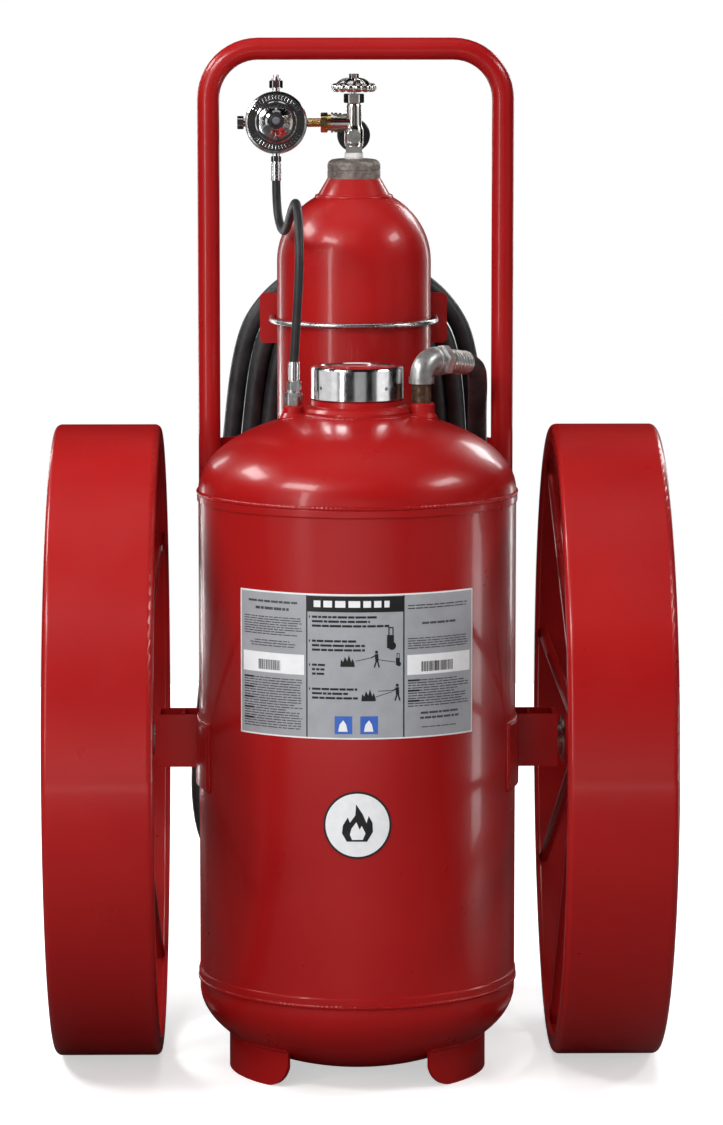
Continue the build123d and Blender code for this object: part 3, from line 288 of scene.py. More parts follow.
def glass(name):
    lens = Shader(name, (0.95, 0.98, 0.98), roughness=0.03, Transmission_Weight=1.0, IOR=1.47)
    lens.rough(lens.noise(20.0, 3.0, 0.5), 0.02, 0.06)
    return lens.material


TANK_RED = red_paint("tank_red", (0.29, 0.0050, 0.0055), (0.35, 0.0075, 0.0075))
WHEEL_RED = red_paint("wheel_red", (0.29, 0.0060, 0.0065), (0.35, 0.0090, 0.0090))
FRAME_RED = red_paint("frame_red", (0.28, 0.0050, 0.0055), (0.34, 0.0075, 0.0075))
CYLINDER_RED = red_paint("cylinder_red", (0.31, 0.0070, 0.0070), (0.38, 0.0100, 0.0100), 0.0005)
WELD_RED = red_paint("weld_red", (0.27, 0.0050, 0.0055), (0.34, 0.0075, 0.0075), gloss=0.17)
CHROME = plated("chrome", (0.66, 0.66, 0.67), (0.8, 0.8, 0.81), 0.11, 0.2)
NICKEL = plated("nickel", (0.56, 0.54, 0.51), (0.78, 0.76, 0.73), 0.12, 0.24)
ZINC = plated("zinc_plate", (0.48, 0.48, 0.47), (0.72, 0.72, 0.72), 0.2, 0.38, 0.0002)
GALVANISED = galvanised("galvanised")
COUPLING_STEEL = plated("coupling_steel", (0.50, 0.50, 0.48), (0.72, 0.72, 0.70), 0.27, 0.4, 0.0003)
CAST_STEEL = cast_steel("cast_steel")
BRASS = brass("brass")
BRONZE = bronze("dull_bronze")
HOSE_BLACK = hose_rubber("hose_black", 0.045)
GAS_HOSE_BLACK = hose_rubber("gas_hose_black", 0.03)
BLACK = matte("black_enamel", (0.008, 0.008, 0.009), (0.022, 0.022, 0.024), 0.35)
BLACK_PLASTIC = matte("black_plastic", (0.012, 0.012, 0.013), (0.03, 0.03, 0.032), 0.45)
CAP_GREY = matte("cap_grey", (0.10, 0.10, 0.115), (0.17, 0.17, 0.19), 0.4)
SEAL = matte("seal_rubber", (0.012, 0.012, 0.012), (0.03, 0.03, 0.03), 0.7)
POWDER = matte("powder", (0.42, 0.36, 0.62), (0.55, 0.48, 0.76), 0.9)
ALUMINIUM = plated("aluminium", (0.55, 0.55, 0.56), (0.74, 0.74, 0.75), 0.24, 0.4, 0.0002)
LENS = glass("lens")
WHITE = matte("white_face", (0.76, 0.76, 0.75), (0.84, 0.84, 0.83), 0.45)
TAPE = matte("thread_tape", (0.84, 0.84, 0.83), (0.93, 0.93, 0.92), 0.6, 140.0, 0.0006)
LABEL_SILVER = matte("label_silver", (0.29, 0.30, 0.32), (0.34, 0.35, 0.37), 0.36, 30.0, 0.00004)
LABEL_BLACK = matte("label_black", (0.010, 0.010, 0.011), (0.016, 0.016, 0.017), 0.4)
LABEL_GREY = matte("label_grey", (0.045, 0.045, 0.05), (0.07, 0.07, 0.075), 0.45)
LABEL_WHITE = matte("label_white", (0.72, 0.73, 0.74), (0.8, 0.81, 0.82), 0.4)
DIAL_GREEN = matte("dial_green", (0.02, 0.22, 0.05), (0.03, 0.28, 0.07), 0.45)
LABEL_BLUE = matte("label_blue", (0.03, 0.10, 0.40), (0.045, 0.13, 0.48), 0.4)

NODE_MATERIALS = {
    TANK_RED: ["tank_shell", "tank_top_head", "tank_bottom_head", "tank_neck_and_bosses", "tank_feet",
               "fill_closure_disc"],
    WHEEL_RED: ["wheel_rim_left", "wheel_rim_right", "wheel_hub_and_spokes_left",
                "wheel_hub_and_spokes_right"],
    FRAME_RED: ["handle_frame", "frame_brackets", "cylinder_shelf", "rack_post", "cylinder_clamp",
                "hose_saddle", "axle_brackets", "nozzle_clip"],
    CYLINDER_RED: ["nitrogen_cylinder"],
    CHROME: ["fill_cap_ring", "regulator_body", "regulator_bonnet", "regulator_fittings",
             "gas_hose_ferrules"],
    NICKEL: ["cylinder_valve_body", "valve_packing_nut", "handwheel", "burst_disc_plug", "valve_stem"],
    ZINC: ["stub_axles", "axle_washers_and_pins", "cylinder_strap_and_nuts", "hub_roller_bearing_left",
           "hub_roller_bearing_right", "siphon_and_gas_tubes", "inlet_check_valve", "regulator_spring"],
    GALVANISED: ["outlet_elbow"],
    COUPLING_STEEL: ["discharge_coupling"],
    CAST_STEEL: ["cylinder_neck_ring"],
    BRASS: ["regulator_inlet_union", "valve_seat_plug"],
    BRONZE: ["outlet_nipple"],
    SEAL: ["fill_gasket", "regulator_diaphragm"],
    POWDER: ["powder_charge"],
    BLACK: ["gauge_case"],
    BLACK_PLASTIC: ["regulator_cap", "gauge_needle", "nozzle_barrel"],
    ALUMINIUM: ["nozzle_coupling", "nozzle_valve", "nozzle_lever", "nozzle_ball"],
    LENS: ["gauge_lens"],
}


def dress(piece, material):
    piece.data.materials.clear()
    piece.data.materials.append(material)


for node_material, node_names in NODE_MATERIALS.items():
    for node_name in node_names:
        dress(NODES[node_name], node_material)


# ---- making pieces ----
def place_mesh(name, mesh_source, material, body="root", smooth=True):
    """Turn a bmesh into a piece that rides on a body."""
    bmesh.ops.recalc_face_normals(mesh_source, faces=mesh_source.faces)
    mesh = bpy.data.meshes.new(name)
    mesh_source.to_mesh(mesh)
    mesh_source.free()
    for face in mesh.polygons:
        face.use_smooth = smooth
    piece = bpy.data.objects.new(name, mesh)
    bpy.context.scene.collection.objects.link(piece)
    dress(piece, material)
    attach(piece, body)
    return piece


# ---- hoses ----
def cord_curve(name, points, radius, material):
    """One smooth line through a route's points, as a round hose."""
    curve = bpy.data.curves.new(name, "CURVE")
    curve.dimensions = "3D"
    spline = curve.splines.new("NURBS")
    spline.points.add(len(points) - 1)
    for point, place in zip(spline.points, points):
        point.co = (*place, 1.0)
    spline.order_u = 3
    spline.use_endpoint_u = True
    spline.use_smooth = True
    curve.resolution_u = 8
    curve.bevel_depth = radius
    curve.bevel_resolution = 6
    curve.use_fill_caps = True
    piece = bpy.data.objects.new(name, curve)
    bpy.context.scene.collection.objects.link(piece)
    dress(piece, material)
    return piece


def route_length(points):
    """The length of a route's smooth line, read from a bare curve that is then removed."""
    bare = cord_curve("bare_line", points, 0.0, HOSE_BLACK)
    bare.data.use_fill_caps = False
    bpy.context.view_layer.update()
    line = bpy.data.meshes.new_from_object(bare.evaluated_get(bpy.context.evaluated_depsgraph_get()))
    total = sum((line.vertices[edge.vertices[0]].co - line.vertices[edge.vertices[1]].co).length
                for edge in line.edges)
    bpy.data.meshes.remove(line)
    curve = bare.data
    bpy.data.objects.remove(bare)
    bpy.data.curves.remove(curve)
    return total


SIDE_POINTS = 3  # along each straight side of a turn
ARC_POINTS = 7  # round each bend
SLIDE_START = 0.42  # where a turn begins to slide over to the next one's place
SLIDE_LENGTH = 0.16  # both as shares of a turn
SWAY = 0.0012


def turn_outline(shrink):
    """One turn of the coil, clockwise from the top of its right-hand side."""
    x1, z1, r1 = COIL_LOW
    x2, z2, r2 = COIL_HIGH
    r1, r2 = r1 - shrink, r2 - shrink
    gap = math.hypot(x2 - x1, z2 - z1)
    lean = math.atan2(x2 - x1, z2 - z1)
    spread = math.asin((r1 - r2) / gap)
    points = []

    def arc(x, z, radius, start, end):
        step = (end - start) / ARC_POINTS
        out = radius / math.cos(step / 2)
        for number in range(ARC_POINTS):
            angle = start + step * (number + 0.5)
            points.append((x + out * math.sin(angle), z + out * math.cos(angle)))

    def side(x_a, z_a, radius_a, x_b, z_b, radius_b, angle):
        for number in range(1, SIDE_POINTS + 1):
            share = number / (SIDE_POINTS + 1)
            x = x_a + (x_b - x_a) * share
            z = z_a + (z_b - z_a) * share
            radius = radius_a + (radius_b - radius_a) * share
            points.append((x + radius * math.sin(angle), z + radius * math.cos(angle)))

    right = lean + math.pi / 2 - spread
    left = lean - math.pi / 2 + spread
    side(x2, z2, r2, x1, z1, r1, right)
    arc(x1, z1, r1, right, left + 2 * math.pi)
    side(x1, z1, r1, x2, z2, r2, left)
    arc(x2, z2, r2, left, right)
    return points


def coil_points():
    """All turns, each sliding over to the next one's place as it comes up the left-hand side."""
    points = []
    for turn, (shrink, y) in enumerate(COIL_LAYERS):
        next_shrink, next_y = COIL_LAYERS[min(turn + 1, len(COIL_LAYERS) - 1)]
        here = turn_outline(shrink)
        there = turn_outline(next_shrink)
        for number, ((x, z), (next_x, next_z)) in enumerate(zip(here, there)):
            way = number / len(here)
            share = min(1.0, max(0.0, (way - SLIDE_START) / SLIDE_LENGTH))
            share = share * share * (3 - 2 * share)
            sway = SWAY * math.sin(2.1 * turn + 9.0 * way)
            points.append((x + (next_x - x) * share + sway, y + (next_y - y) * share,
                           z + (next_z - z) * share))
    return points


def add_hoses():
    """The regulator's thin hose, and the long one from the outlet through the coil to the nozzle."""
    gas = cord_curve("gas_hose_cover", GAS_ROUTE, GAS_HOSE_R, GAS_HOSE_BLACK)
    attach(gas, "root")
    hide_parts("gas_hose")
    round(route_length(GAS_ROUTE), 3)

    # the lead joins the coil below its first side, and the tail leaves it near its lowest place
    last_run = turn_outline(RUN_OUT_DEPTH)[:SIDE_POINTS + 3]
    run_out = [(x, COIL_BACK_Y - 0.004, z) for x, z in last_run]
    route = LEAD_ROUTE + coil_points()[SIDE_POINTS:] + run_out + TAIL_ROUTE
    hose = cord_curve("discharge_hose", route, HOSE_R, HOSE_BLACK)
    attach(hose, "root")
    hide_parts("discharge_hose_lead", "discharge_hose_coil", "discharge_hose_tail")


add_hoses()


# ---- shapes made of rings ----
def circle(count, start=0.0):
    """The cosine and sine of evenly spaced angles all the way round."""
    angles = [start + 2 * math.pi * number / count for number in range(count)]
    return [(math.cos(angle), math.sin(angle)) for angle in angles]


def stitch(source, rows, endless=False, capped=False):
    """Join closed rings of points into a skin, whose ends meet each other or get a flat face each."""
    pairs = list(zip(rows, rows[1:]))
    if endless:
        pairs.append((rows[-1], rows[0]))
    for here, there in pairs:
        for corner in range(len(here)):
            after = (corner + 1) % len(here)
            source.faces.new((here[corner], here[after], there[after], there[corner]))
    if capped:
        source.faces.new(rows[0])
        source.faces.new(rows[-1])


# ---- welds ----
RIPPLE = 5  # points along a bead for each of its ripples
BEAD_STEP = 0.0013  # from one point of a bead to the next
UPPER_SEAM_Z = 0.8325
LOWER_SEAM_Z = 0.1325
PAD_ENDS = (math.radians(-21.7), math.radians(42.2))  # a doubler plate's ends, round the tank
PAD_LOW, PAD_HIGH = 0.4143, 0.5077
FOOT_R = 0.1845
FOOT_ENDS = (math.radians(-56.5), math.radians(13.5))


def weld(name, path, outward, radius, closed=False):
    """A weld bead with the small ripples that the arc leaves."""
    source = bmesh.new()
    rows = []
    count = len(path)
    for number, (place, out) in enumerate(zip(path, outward)):
        ahead = path[(number + 1) % count] if closed or number < count - 1 else place
        behind = path[number - 1] if closed or number > 0 else place
        along = (ahead - behind).normalized()
        across = along.cross(out).normalized()
        up = across.cross(along)
        size = radius * (0.86 + 0.24 * abs(math.sin(math.pi * number / RIPPLE)))
        size *= 1.0 + 0.05 * math.sin(0.37 * number)
        rows.append([source.verts.new(place + size * (1.2 * c * across + 0.75 * s * up))
                     for c, s in circle(8)])
    stitch(source, rows, endless=closed, capped=not closed)
    place_mesh(name, source, WELD_RED)


def head_height(x, y, top=True):
    """The height of the tank's curved end over or under a point."""
    share = math.sqrt(max(0.0, 1.0 - ((x * x + (y - TANK_Y) ** 2) / TANK_R ** 2)))
    return TANK_TOP_EDGE + HEAD_RISE * share if top else TANK_LOW_EDGE - HEAD_RISE * share


def ring_weld(name, x, y, radius, size, height=None):
    """A closed bead round an upright axis, on the tank's head unless a height is given."""
    count = int(2 * math.pi * radius / BEAD_STEP / RIPPLE) * RIPPLE
    path, outward = [], []
    for c, s in circle(count):
        out = Vector((c, s, 0.0))
        place = Vector((x, y, 0.0)) + radius * out
        place.z = head_height(place.x, place.y) if height is None else height
        path.append(place)
        outward.append(out + UPWARD if height is None else out)
    weld(name, path, outward, size, closed=True)


def tank_point(angle, height, radius):
    return Vector((radius * math.cos(angle), TANK_Y + radius * math.sin(angle), height))


def pad_weld(side, name):
    """The bead along the edge of the doubler plate that carries a wheel bracket."""
    start, end = PAD_ENDS
    corners = [(start, PAD_LOW), (end, PAD_LOW), (end, PAD_HIGH), (start, PAD_HIGH)]
    path, outward = [], []
    for here, there in zip(corners, corners[1:] + corners[:1]):
        length = (end - start) * TANK_R if here[1] == there[1] else PAD_HIGH - PAD_LOW
        steps = int(length / BEAD_STEP)
        for step in range(steps):
            share = step / steps
            angle = here[0] + (there[0] - here[0]) * share
            place = tank_point(angle, here[1] + (there[1] - here[1]) * share, TANK_R + 0.0008)
            place.x *= side
            path.append(place)
            outward.append(Vector((side * math.cos(angle), math.sin(angle), 0.0)))
    weld("pad_weld_" + name, path, outward, 0.0026, closed=True)


def foot_weld(side, name):
    """The bead where a foot plate meets the tank's lower end."""
    start, end = FOOT_ENDS
    steps = int((end - start) * FOOT_R / BEAD_STEP)
    path, outward = [], []
    for step in range(steps + 1):
        angle = start + (end - start) * step / steps
        place = tank_point(angle, 0.0, FOOT_R)
        place.z = head_height(place.x, place.y, top=False)
        place.x *= side
        path.append(place)
        outward.append(Vector((side * math.cos(angle), math.sin(angle), -0.6)))
    weld("foot_weld_" + name, path, outward, 0.0028)


def add_welds():
    ring_weld("upper_seam_weld", 0.0, TANK_Y, TANK_R + 0.0007, 0.0026, height=UPPER_SEAM_Z)
    ring_weld("lower_seam_weld", 0.0, TANK_Y, TANK_R + 0.0007, 0.0026, height=LOWER_SEAM_Z)
    ring_weld("fill_neck_weld", 0.0, TANK_Y, 0.0772, 0.003)
    ring_weld("outlet_boss_weld", PORT_X, TANK_Y, 0.0235, 0.0024)
    ring_weld("inlet_boss_weld", -PORT_X, TANK_Y, 0.0195, 0.0022)
    for side, name in ((1, "right"), (-1, "left")):
        pad_weld(side, name)
        foot_weld(side, name)


add_welds()


# ---- threads, tape, crimps and the coupling's nut ----
# the nut's section: distance from the elbow's corner, and corner radius
NUT_SECTION = [(0.0376, 0.0200), (0.0392, 0.0230), (0.0528, 0.0230), (0.0544, 0.0200)]


def bands(name, start, axis, distances, radius, tube, material):
    """Thin raised rings round an axis, such as the crimps on a ferrule or the crests of a thread."""
    side = axis.orthogonal().normalized()
    other = axis.cross(side)
    source = bmesh.new()
    for distance in distances:
        centre = start + axis * distance
        rows = []
        for c, s in circle(40):
            out = side * c + other * s
            rows.append([source.verts.new(centre + out * (radius + tube * across) + axis * tube * along)
                         for across, along in circle(8)])
        stitch(source, rows, endless=True)
    place_mesh(name, source, material)


def steps_between(first, last, count):
    return [first + (last - first) * number / (count - 1) for number in range(count)]


def add_fitting_details():
    """Crimps on the hose ferrules, thread crests on the nipples and tape in the cylinder valve's neck."""
    cylinder = Vector((0.0, CYL_Y, 0.0))
    bands("upper_ferrule_crimps", REGULATOR_AT, -REGULATOR_UP, steps_between(0.064, 0.083, 5), 0.0076,
          0.0006, CHROME)
    bands("lower_ferrule_crimps", Vector((-0.0896, TANK_Y, 0.0)), UPWARD,
          steps_between(0.9945, 1.0125, 5), 0.0082, 0.0006, CHROME)
    bands("coupling_crimps", ELBOW_AT, OUTLET_ALONG, steps_between(0.066, 0.098, 6), 0.0166, 0.0009,
          COUPLING_STEEL)
    bands("elbow_end_beads", ELBOW_AT, OUTLET_ALONG, (0.029, 0.0355), 0.0181, 0.0008, GALVANISED)
    bands("cylinder_shoulder_bead", cylinder, UPWARD, (1.2318,), 0.0548, 0.0036, CYLINDER_RED)
    bands("outlet_thread", Vector((PORT_X, TANK_Y, 0.0)), UPWARD, steps_between(0.9595, 0.9835, 13),
          0.0132, 0.0009, BRONZE)
    bands("union_thread", REGULATOR_AT, SIDEWAYS, steps_between(0.0485, 0.0645, 11), 0.0062, 0.0006,
          BRASS)
    tape = random.Random(5)
    wraps = [1.2878 + 0.0009 * number + tape.uniform(-0.0002, 0.0002) for number in range(10)]
    bands("valve_thread_tape", cylinder, UPWARD, wraps, 0.0130, 0.0008, TAPE)


def add_coupling_nut():
    """The chamfered six-sided nut between the elbow and the hose's sleeve."""
    side = OUTLET_ALONG.cross(UPWARD).normalized()
    up = side.cross(OUTLET_ALONG)
    source = bmesh.new()
    rows = []
    for distance, radius in NUT_SECTION:
        centre = ELBOW_AT + OUTLET_ALONG * distance
        rows.append([source.verts.new(centre + (side * c + up * s) * radius)
                     for c, s in circle(6, math.radians(12))])
    stitch(source, rows, capped=True)
    bmesh.ops.bevel(source, geom=source.edges[:], offset=0.0006, segments=2, affect="EDGES")
    place_mesh("coupling_nut", source, GALVANISED, smooth=False)


add_fitting_details()
add_coupling_nut()


# ---- regulator's front and handwheel ----
REGULATOR_FACE = 0.0070  # from the regulator's centre to its front ring
REGULATOR_CAP = 0.0420  # and to the adjusting cap's face
RIB_RING = 0.0371  # the ribs' distance from the regulator's axis
RIB_LENGTH = 0.0031  # half of it, as with the width
RIB_WIDTH = 0.0011
# the cap face's section: radius, and height over the cap
CAP_SECTION = [(0.0057, -0.0004), (0.0057, 0.0004), (0.0053, 0.0008), (0.0027, 0.0006)]
RIM_R = 0.0276  # the handwheel's rim
RIM_Z = 1.3926
FLUTES = 14
POINTS_PER_FLUTE = 12
ARMS = 5
# its boss's section: radius and height
BOSS_SECTION = [(0.0041, 1.3872), (0.0095, 1.3872), (0.0105, 1.3890), (0.0100, 1.4010),
                (0.0088, 1.4040), (0.0041, 1.4040)]


def add_regulator_ribs():
    """Short ribs round the regulator's front ring, in an upper and a lower run."""
    source = bmesh.new()
    for middle_angle in (90, 270):
        for number in range(-8, 9):
            angle = math.radians(middle_angle + 7.5 * number)
            out = SIDEWAYS * math.cos(angle) + REGULATOR_UP * math.sin(angle)
            across = out.cross(REGULATOR_AHEAD)
            rows = []
            for lift, size in ((0.0, 1.0), (0.0009, 0.72)):
                middle = REGULATOR_AT + REGULATOR_AHEAD * (REGULATOR_FACE + lift) + out * RIB_RING
                reach, half = out * RIB_LENGTH * size, across * RIB_WIDTH * size
                corners = (-reach - half, reach - half, reach + half, half - reach)
                rows.append([source.verts.new(middle + corner) for corner in corners])
            source.faces.new(rows[1])
            stitch(source, rows)
    place_mesh("regulator_ring_ribs", source, CHROME, smooth=False)


def add_regulator_button():
    """The worn grey face of the adjusting cap, inside the cap's black rim."""
    source = bmesh.new()
    rows = []
    for radius, lift in CAP_SECTION:
        centre = REGULATOR_AT + REGULATOR_AHEAD * (REGULATOR_CAP + lift)
        rows.append([source.verts.new(centre + radius * (SIDEWAYS * c + REGULATOR_UP * s))
                     for c, s in circle(40)])
    stitch(source, rows, capped=True)
    place_mesh("regulator_cap_face", source, CAP_GREY)


def wheel_rim(source):
    """A lobed ring, whose flutes are cut into its outer side."""
    rows = []
    for number, (x, y) in enumerate(circle(POINTS_PER_FLUTE * FLUTES)):
        lobe = abs(math.cos(math.pi * number / POINTS_PER_FLUTE)) ** 0.6
        row = []
        for c, s in circle(12):
            out = RIM_R + 0.0064 * c * (0.5 + 0.5 * lobe if c > 0 else 0.8)
            height = RIM_Z + (0.0046 + 0.0019 * lobe) * s
            row.append(source.verts.new((out * x, CYL_Y + out * y, height)))
        rows.append(row)
    stitch(source, rows, endless=True)


def wheel_arm(source, x, y):
    """One arched arm from the boss to the rim, wider at its outer end."""
    steps = 9
    out = Vector((x, y, 0.0))
    across = Vector((-y, x, 0.0))
    rows = []
    for step in range(steps + 1):
        share = step / steps
        centre = Vector((0.0, CYL_Y, 1.4050 - 0.0098 * share ** 2.2)) + out * (0.0085 + 0.0195 * share)
        half = 0.0058 + 0.003 * share
        rows.append([source.verts.new(centre + across * half * c + UPWARD * 0.0022 * s)
                     for c, s in circle(8)])
    stitch(source, rows)


def add_handwheel():
    """The fluted valve wheel: a lobed rim, arched arms and a boss under the stem's nut."""
    source = bmesh.new()
    wheel_rim(source)
    for x, y in circle(ARMS, math.pi / ARMS):
        wheel_arm(source, x, y)
    boss = [[source.verts.new((radius * x, CYL_Y + radius * y, z)) for radius, z in BOSS_SECTION]
            for x, y in circle(40)]
    stitch(source, boss, endless=True)
    wheel = place_mesh("fluted_handwheel", source, NICKEL, body="valve_wheel")
    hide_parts("handwheel")


add_regulator_ribs()
add_regulator_button()
add_handwheel()


# ---- flat outlines: lists of (x, z) ----
def box_outline(x0, z0, x1, z1):
    return [(x0, z0), (x1, z0), (x1, z1), (x0, z1)]


def disc_outline(x, z, radius, count=16):
    return [(x + radius * c, z + radius * s) for c, s in circle(count)]


def stroke(x0, z0, x1, z1, thick):
    """A straight line of some thickness between two points."""
    length = math.hypot(x1 - x0, z1 - z0)
    dx, dz = (z1 - z0) / length * thick / 2, (x1 - x0) / length * thick / 2
    return [(x0 - dx, z0 + dz), (x0 + dx, z0 - dz), (x1 + dx, z1 - dz), (x1 - dx, z1 + dz)]


def placed(outline, x, z, size):
    return [(x + size * across, z + size * up) for across, up in outline]


# ---- gauge dial ----
DIAL_Y = 0.2826
DIAL_Z = 1.321
DIAL_R = 0.0212
DIAL_SWEEP = 270.0
DIAL_NUMBERS = 5
SMALL_TICKS = 5  # from one number to the next
TICK_END = 0.0202
ZONE = (0.0150, 0.0176)  # inner and outer radius of the coloured zones
INK_THICK = 0.00008


def dial_shape(source, outline, thick, depth):
    """A flat outline, (x, z) from the dial's centre, facing the rear, with a little thickness."""
    rows = [[source.verts.new((x, DIAL_Y + y, DIAL_Z + z)) for x, z in outline]
            for y in (depth, depth + thick)]
    stitch(source, rows, capped=True)


def dial_direction(share):
    """From the low end of the scale, at the lower left of a viewer behind the unit, to its high end."""
    angle = math.radians(90 + DIAL_SWEEP / 2 - DIAL_SWEEP * share)
    return -math.cos(angle), math.sin(angle)


def dial_arc(first, last):
    """A coloured zone's outline: out along its outer edge and back along its inner one."""
    steps = 24
    ways = [dial_direction(first + (last - first) * number / steps) for number in range(steps + 1)]
    inner, outer = ZONE
    return [(outer * x, outer * z) for x, z in ways] + [(inner * x, inner * z) for x, z in reversed(ways)]


def add_dial_number(number):
    """One number, turned to face the rear."""
    text = bpy.data.curves.new("dial_number", "FONT")
    text.body = str(number)
    text.size = 0.0052
    text.align_x = "CENTER"
    text.align_y = "CENTER"
    text.extrude = 0.00004
    written = bpy.data.objects.new("dial_number_writing", text)
    bpy.context.scene.collection.objects.link(written)
    bpy.context.view_layer.update()
    mesh = bpy.data.meshes.new_from_object(written)
    bpy.data.objects.remove(written)
    x, z = dial_direction(number / (DIAL_NUMBERS - 1))
    for vert in mesh.vertices:
        side, up, lift = vert.co
        vert.co = (x * 0.0122 - side, DIAL_Y + 0.0003 + lift, DIAL_Z + z * 0.0122 + up)
    digit = bpy.data.objects.new("dial_number_%d" % number, mesh)
    bpy.context.scene.collection.objects.link(digit)
    dress(digit, LABEL_BLACK)
    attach(digit, "root")


def add_dial():
    """The gauge's face, its two zones, its ticks and its numbers."""
    face = bmesh.new()
    dial_shape(face, disc_outline(0.0, 0.0, DIAL_R, 64), 0.0002, 0.0)
    place_mesh("dial_face", face, WHITE, smooth=False)
    for name, first, last, paint in (("dial_green_zone", 0.62, 0.86, DIAL_GREEN),
                                     ("dial_red_zone", 0.86, 1.0, TANK_RED)):
        zone = bmesh.new()
        dial_shape(zone, dial_arc(first, last), INK_THICK, 0.00021)
        place_mesh(name, zone, paint, smooth=False)
    ticks = bmesh.new()
    count = SMALL_TICKS * (DIAL_NUMBERS - 1)
    for number in range(count + 1):
        x, z = dial_direction(number / count)
        start, thick = (0.0158, 0.00064) if number % SMALL_TICKS == 0 else (0.0182, 0.00036)
        tick = stroke(x * start, z * start, x * TICK_END, z * TICK_END, thick)
        dial_shape(ticks, tick, INK_THICK, 0.00032)
    place_mesh("dial_ticks", ticks, LABEL_BLACK, smooth=False)
    for number in range(DIAL_NUMBERS):
        add_dial_number(number)


add_dial()


# ---- plates wrapped onto the tank ----
CUT_STEP = 0.006  # a plate is cut this often, so that it bends with the tank


def bent_plates(name, outlines, material, lift, thick=0.00025):
    """Flat outlines, in metres round the tank's front and up, wrapped onto the tank."""
    source = bmesh.new()
    for outline in outlines:
        part = bmesh.new()
        part.faces.new([part.verts.new((x, 0.0, z)) for x, z in outline])
        high = max(x for x, z in outline)
        cut = min(x for x, z in outline) + CUT_STEP
        while cut < high - 1e-6:
            everything = part.verts[:] + part.edges[:] + part.faces[:]
            bmesh.ops.bisect_plane(part, geom=everything, plane_co=(cut, 0, 0), plane_no=(1, 0, 0))
            cut += CUT_STEP
        moved = bpy.data.meshes.new("part")
        part.to_mesh(moved)
        part.free()
        source.from_mesh(moved)
        bpy.data.meshes.remove(moved)
    grown = bmesh.ops.extrude_face_region(source, geom=source.faces[:])
    outer = {vert for vert in grown["geom"] if isinstance(vert, bmesh.types.BMVert)}
    for vert in source.verts:
        around = TANK_R + lift + (thick if vert in outer else 0.0)
        angle = vert.co.x / TANK_R
        vert.co = (around * math.sin(angle), TANK_Y - around * math.cos(angle), vert.co.z)
    place_mesh(name, source, material, smooth=False)


# small pictures about one unit high: a wheeled unit, a person who holds a nozzle out, and a fire
TANKER = [box_outline(-0.22, 0.12, 0.22, 0.95), disc_outline(0.1, 0.26, 0.26),
          stroke(-0.1, 0.95, -0.1, 1.45, 0.07), stroke(0.16, 0.95, 0.16, 1.45, 0.07),
          stroke(-0.13, 1.42, 0.19, 1.42, 0.07)]
PERSON = [disc_outline(0.0, 1.72, 0.17), stroke(0.0, 1.5, 0.04, 0.75, 0.38),
          stroke(0.02, 0.85, -0.24, 0.0, 0.16), stroke(0.08, 0.85, 0.3, 0.0, 0.16),
          stroke(-0.05, 1.36, -0.62, 1.08, 0.13)]
FIRE = [[(-0.62, 0.0), (0.62, 0.0), (0.6, 0.3), (0.44, 0.72), (0.32, 0.42), (0.12, 1.05), (-0.02, 0.5),
         (-0.22, 0.88), (-0.36, 0.42), (-0.56, 0.62), (-0.6, 0.3)]]
PALE_MARK = [(0.005, 0.0), (0.018, 0.0), (0.016, 0.010), (0.012, 0.016), (0.007, 0.010)]
BADGE_FLAME = [(-0.4, -0.62), (0.36, -0.62), (0.58, -0.25), (0.56, 0.1), (0.42, 0.36), (0.34, 0.08),
               (0.2, 0.42), (-0.05, 0.8), (-0.08, 0.38), (-0.28, 0.1), (-0.36, 0.3), (-0.54, 0.0),
               (-0.58, -0.3)]
BADGE_CORE = [(-0.2, -0.55), (0.2, -0.55), (0.3, -0.3), (0.16, -0.02), (0.08, -0.16), (-0.04, 0.12),
              (-0.22, -0.12), (-0.28, -0.35)]


# ---- label ----
LEFT, RIGHT = -0.1835, 0.1743
LOW, HIGH = 0.512, 0.7146
RULE_1, RULE_2 = -0.0737, 0.0617  # the two rules between the three panels
RULE_HALF = 0.0009
EDGE = 0.0022
LEFT_0, LEFT_1 = LEFT + 0.008, RULE_1 - 0.006  # the side panels' writing space
RIGHT_0, RIGHT_1 = RULE_2 + 0.006, RIGHT - 0.008
NOTES_TOP = LOW + 0.08  # where the long notes start
NOTES_PITCH = 0.0036
NOTES = ((LEFT_0, 20), (RIGHT_0, 11))
# each block of dashes: left, right, top, rows, from row to row, height, and whether it is centred
SIDE_TEXT = [
    (LEFT_0, LEFT_1, HIGH - 0.016, 1, 0.006, 0.003, True),
    (LEFT_0 + 0.02, LEFT_1 - 0.02, HIGH - 0.026, 1, 0.006, 0.0038, True),
    (LEFT_0, LEFT_1, HIGH - 0.037, 8, 0.0034, 0.0014),
    (LEFT_0 + 0.008, LEFT_1 - 0.008, HIGH - 0.070, 3, 0.0036, 0.0014, True),
    (LEFT_0, LEFT_1, NOTES_TOP, 20, NOTES_PITCH, 0.0015),
    (RIGHT_0, RIGHT_1, HIGH - 0.018, 2, 0.004, 0.0016),
    (RIGHT_0 + 0.012, RIGHT_1 - 0.012, HIGH - 0.044, 1, 0.006, 0.003, True),
    (RIGHT_0, RIGHT_1, HIGH - 0.064, 5, 0.0034, 0.0014),
    (RIGHT_0, RIGHT_1, NOTES_TOP, 11, NOTES_PITCH, 0.0015),
    (RIGHT_0 + 0.006, RIGHT_1 - 0.006, LOW + 0.033, 2, 0.007, 0.003, True),
    (RIGHT_0 + 0.015, RIGHT_1 - 0.015, LOW + 0.014, 1, 0.007, 0.0013, True),
]
STEP_PITCH = 0.0335
STEP_WIDTHS = (0.122, 0.084, 0.026, 0.072)  # of the middle panel's four steps
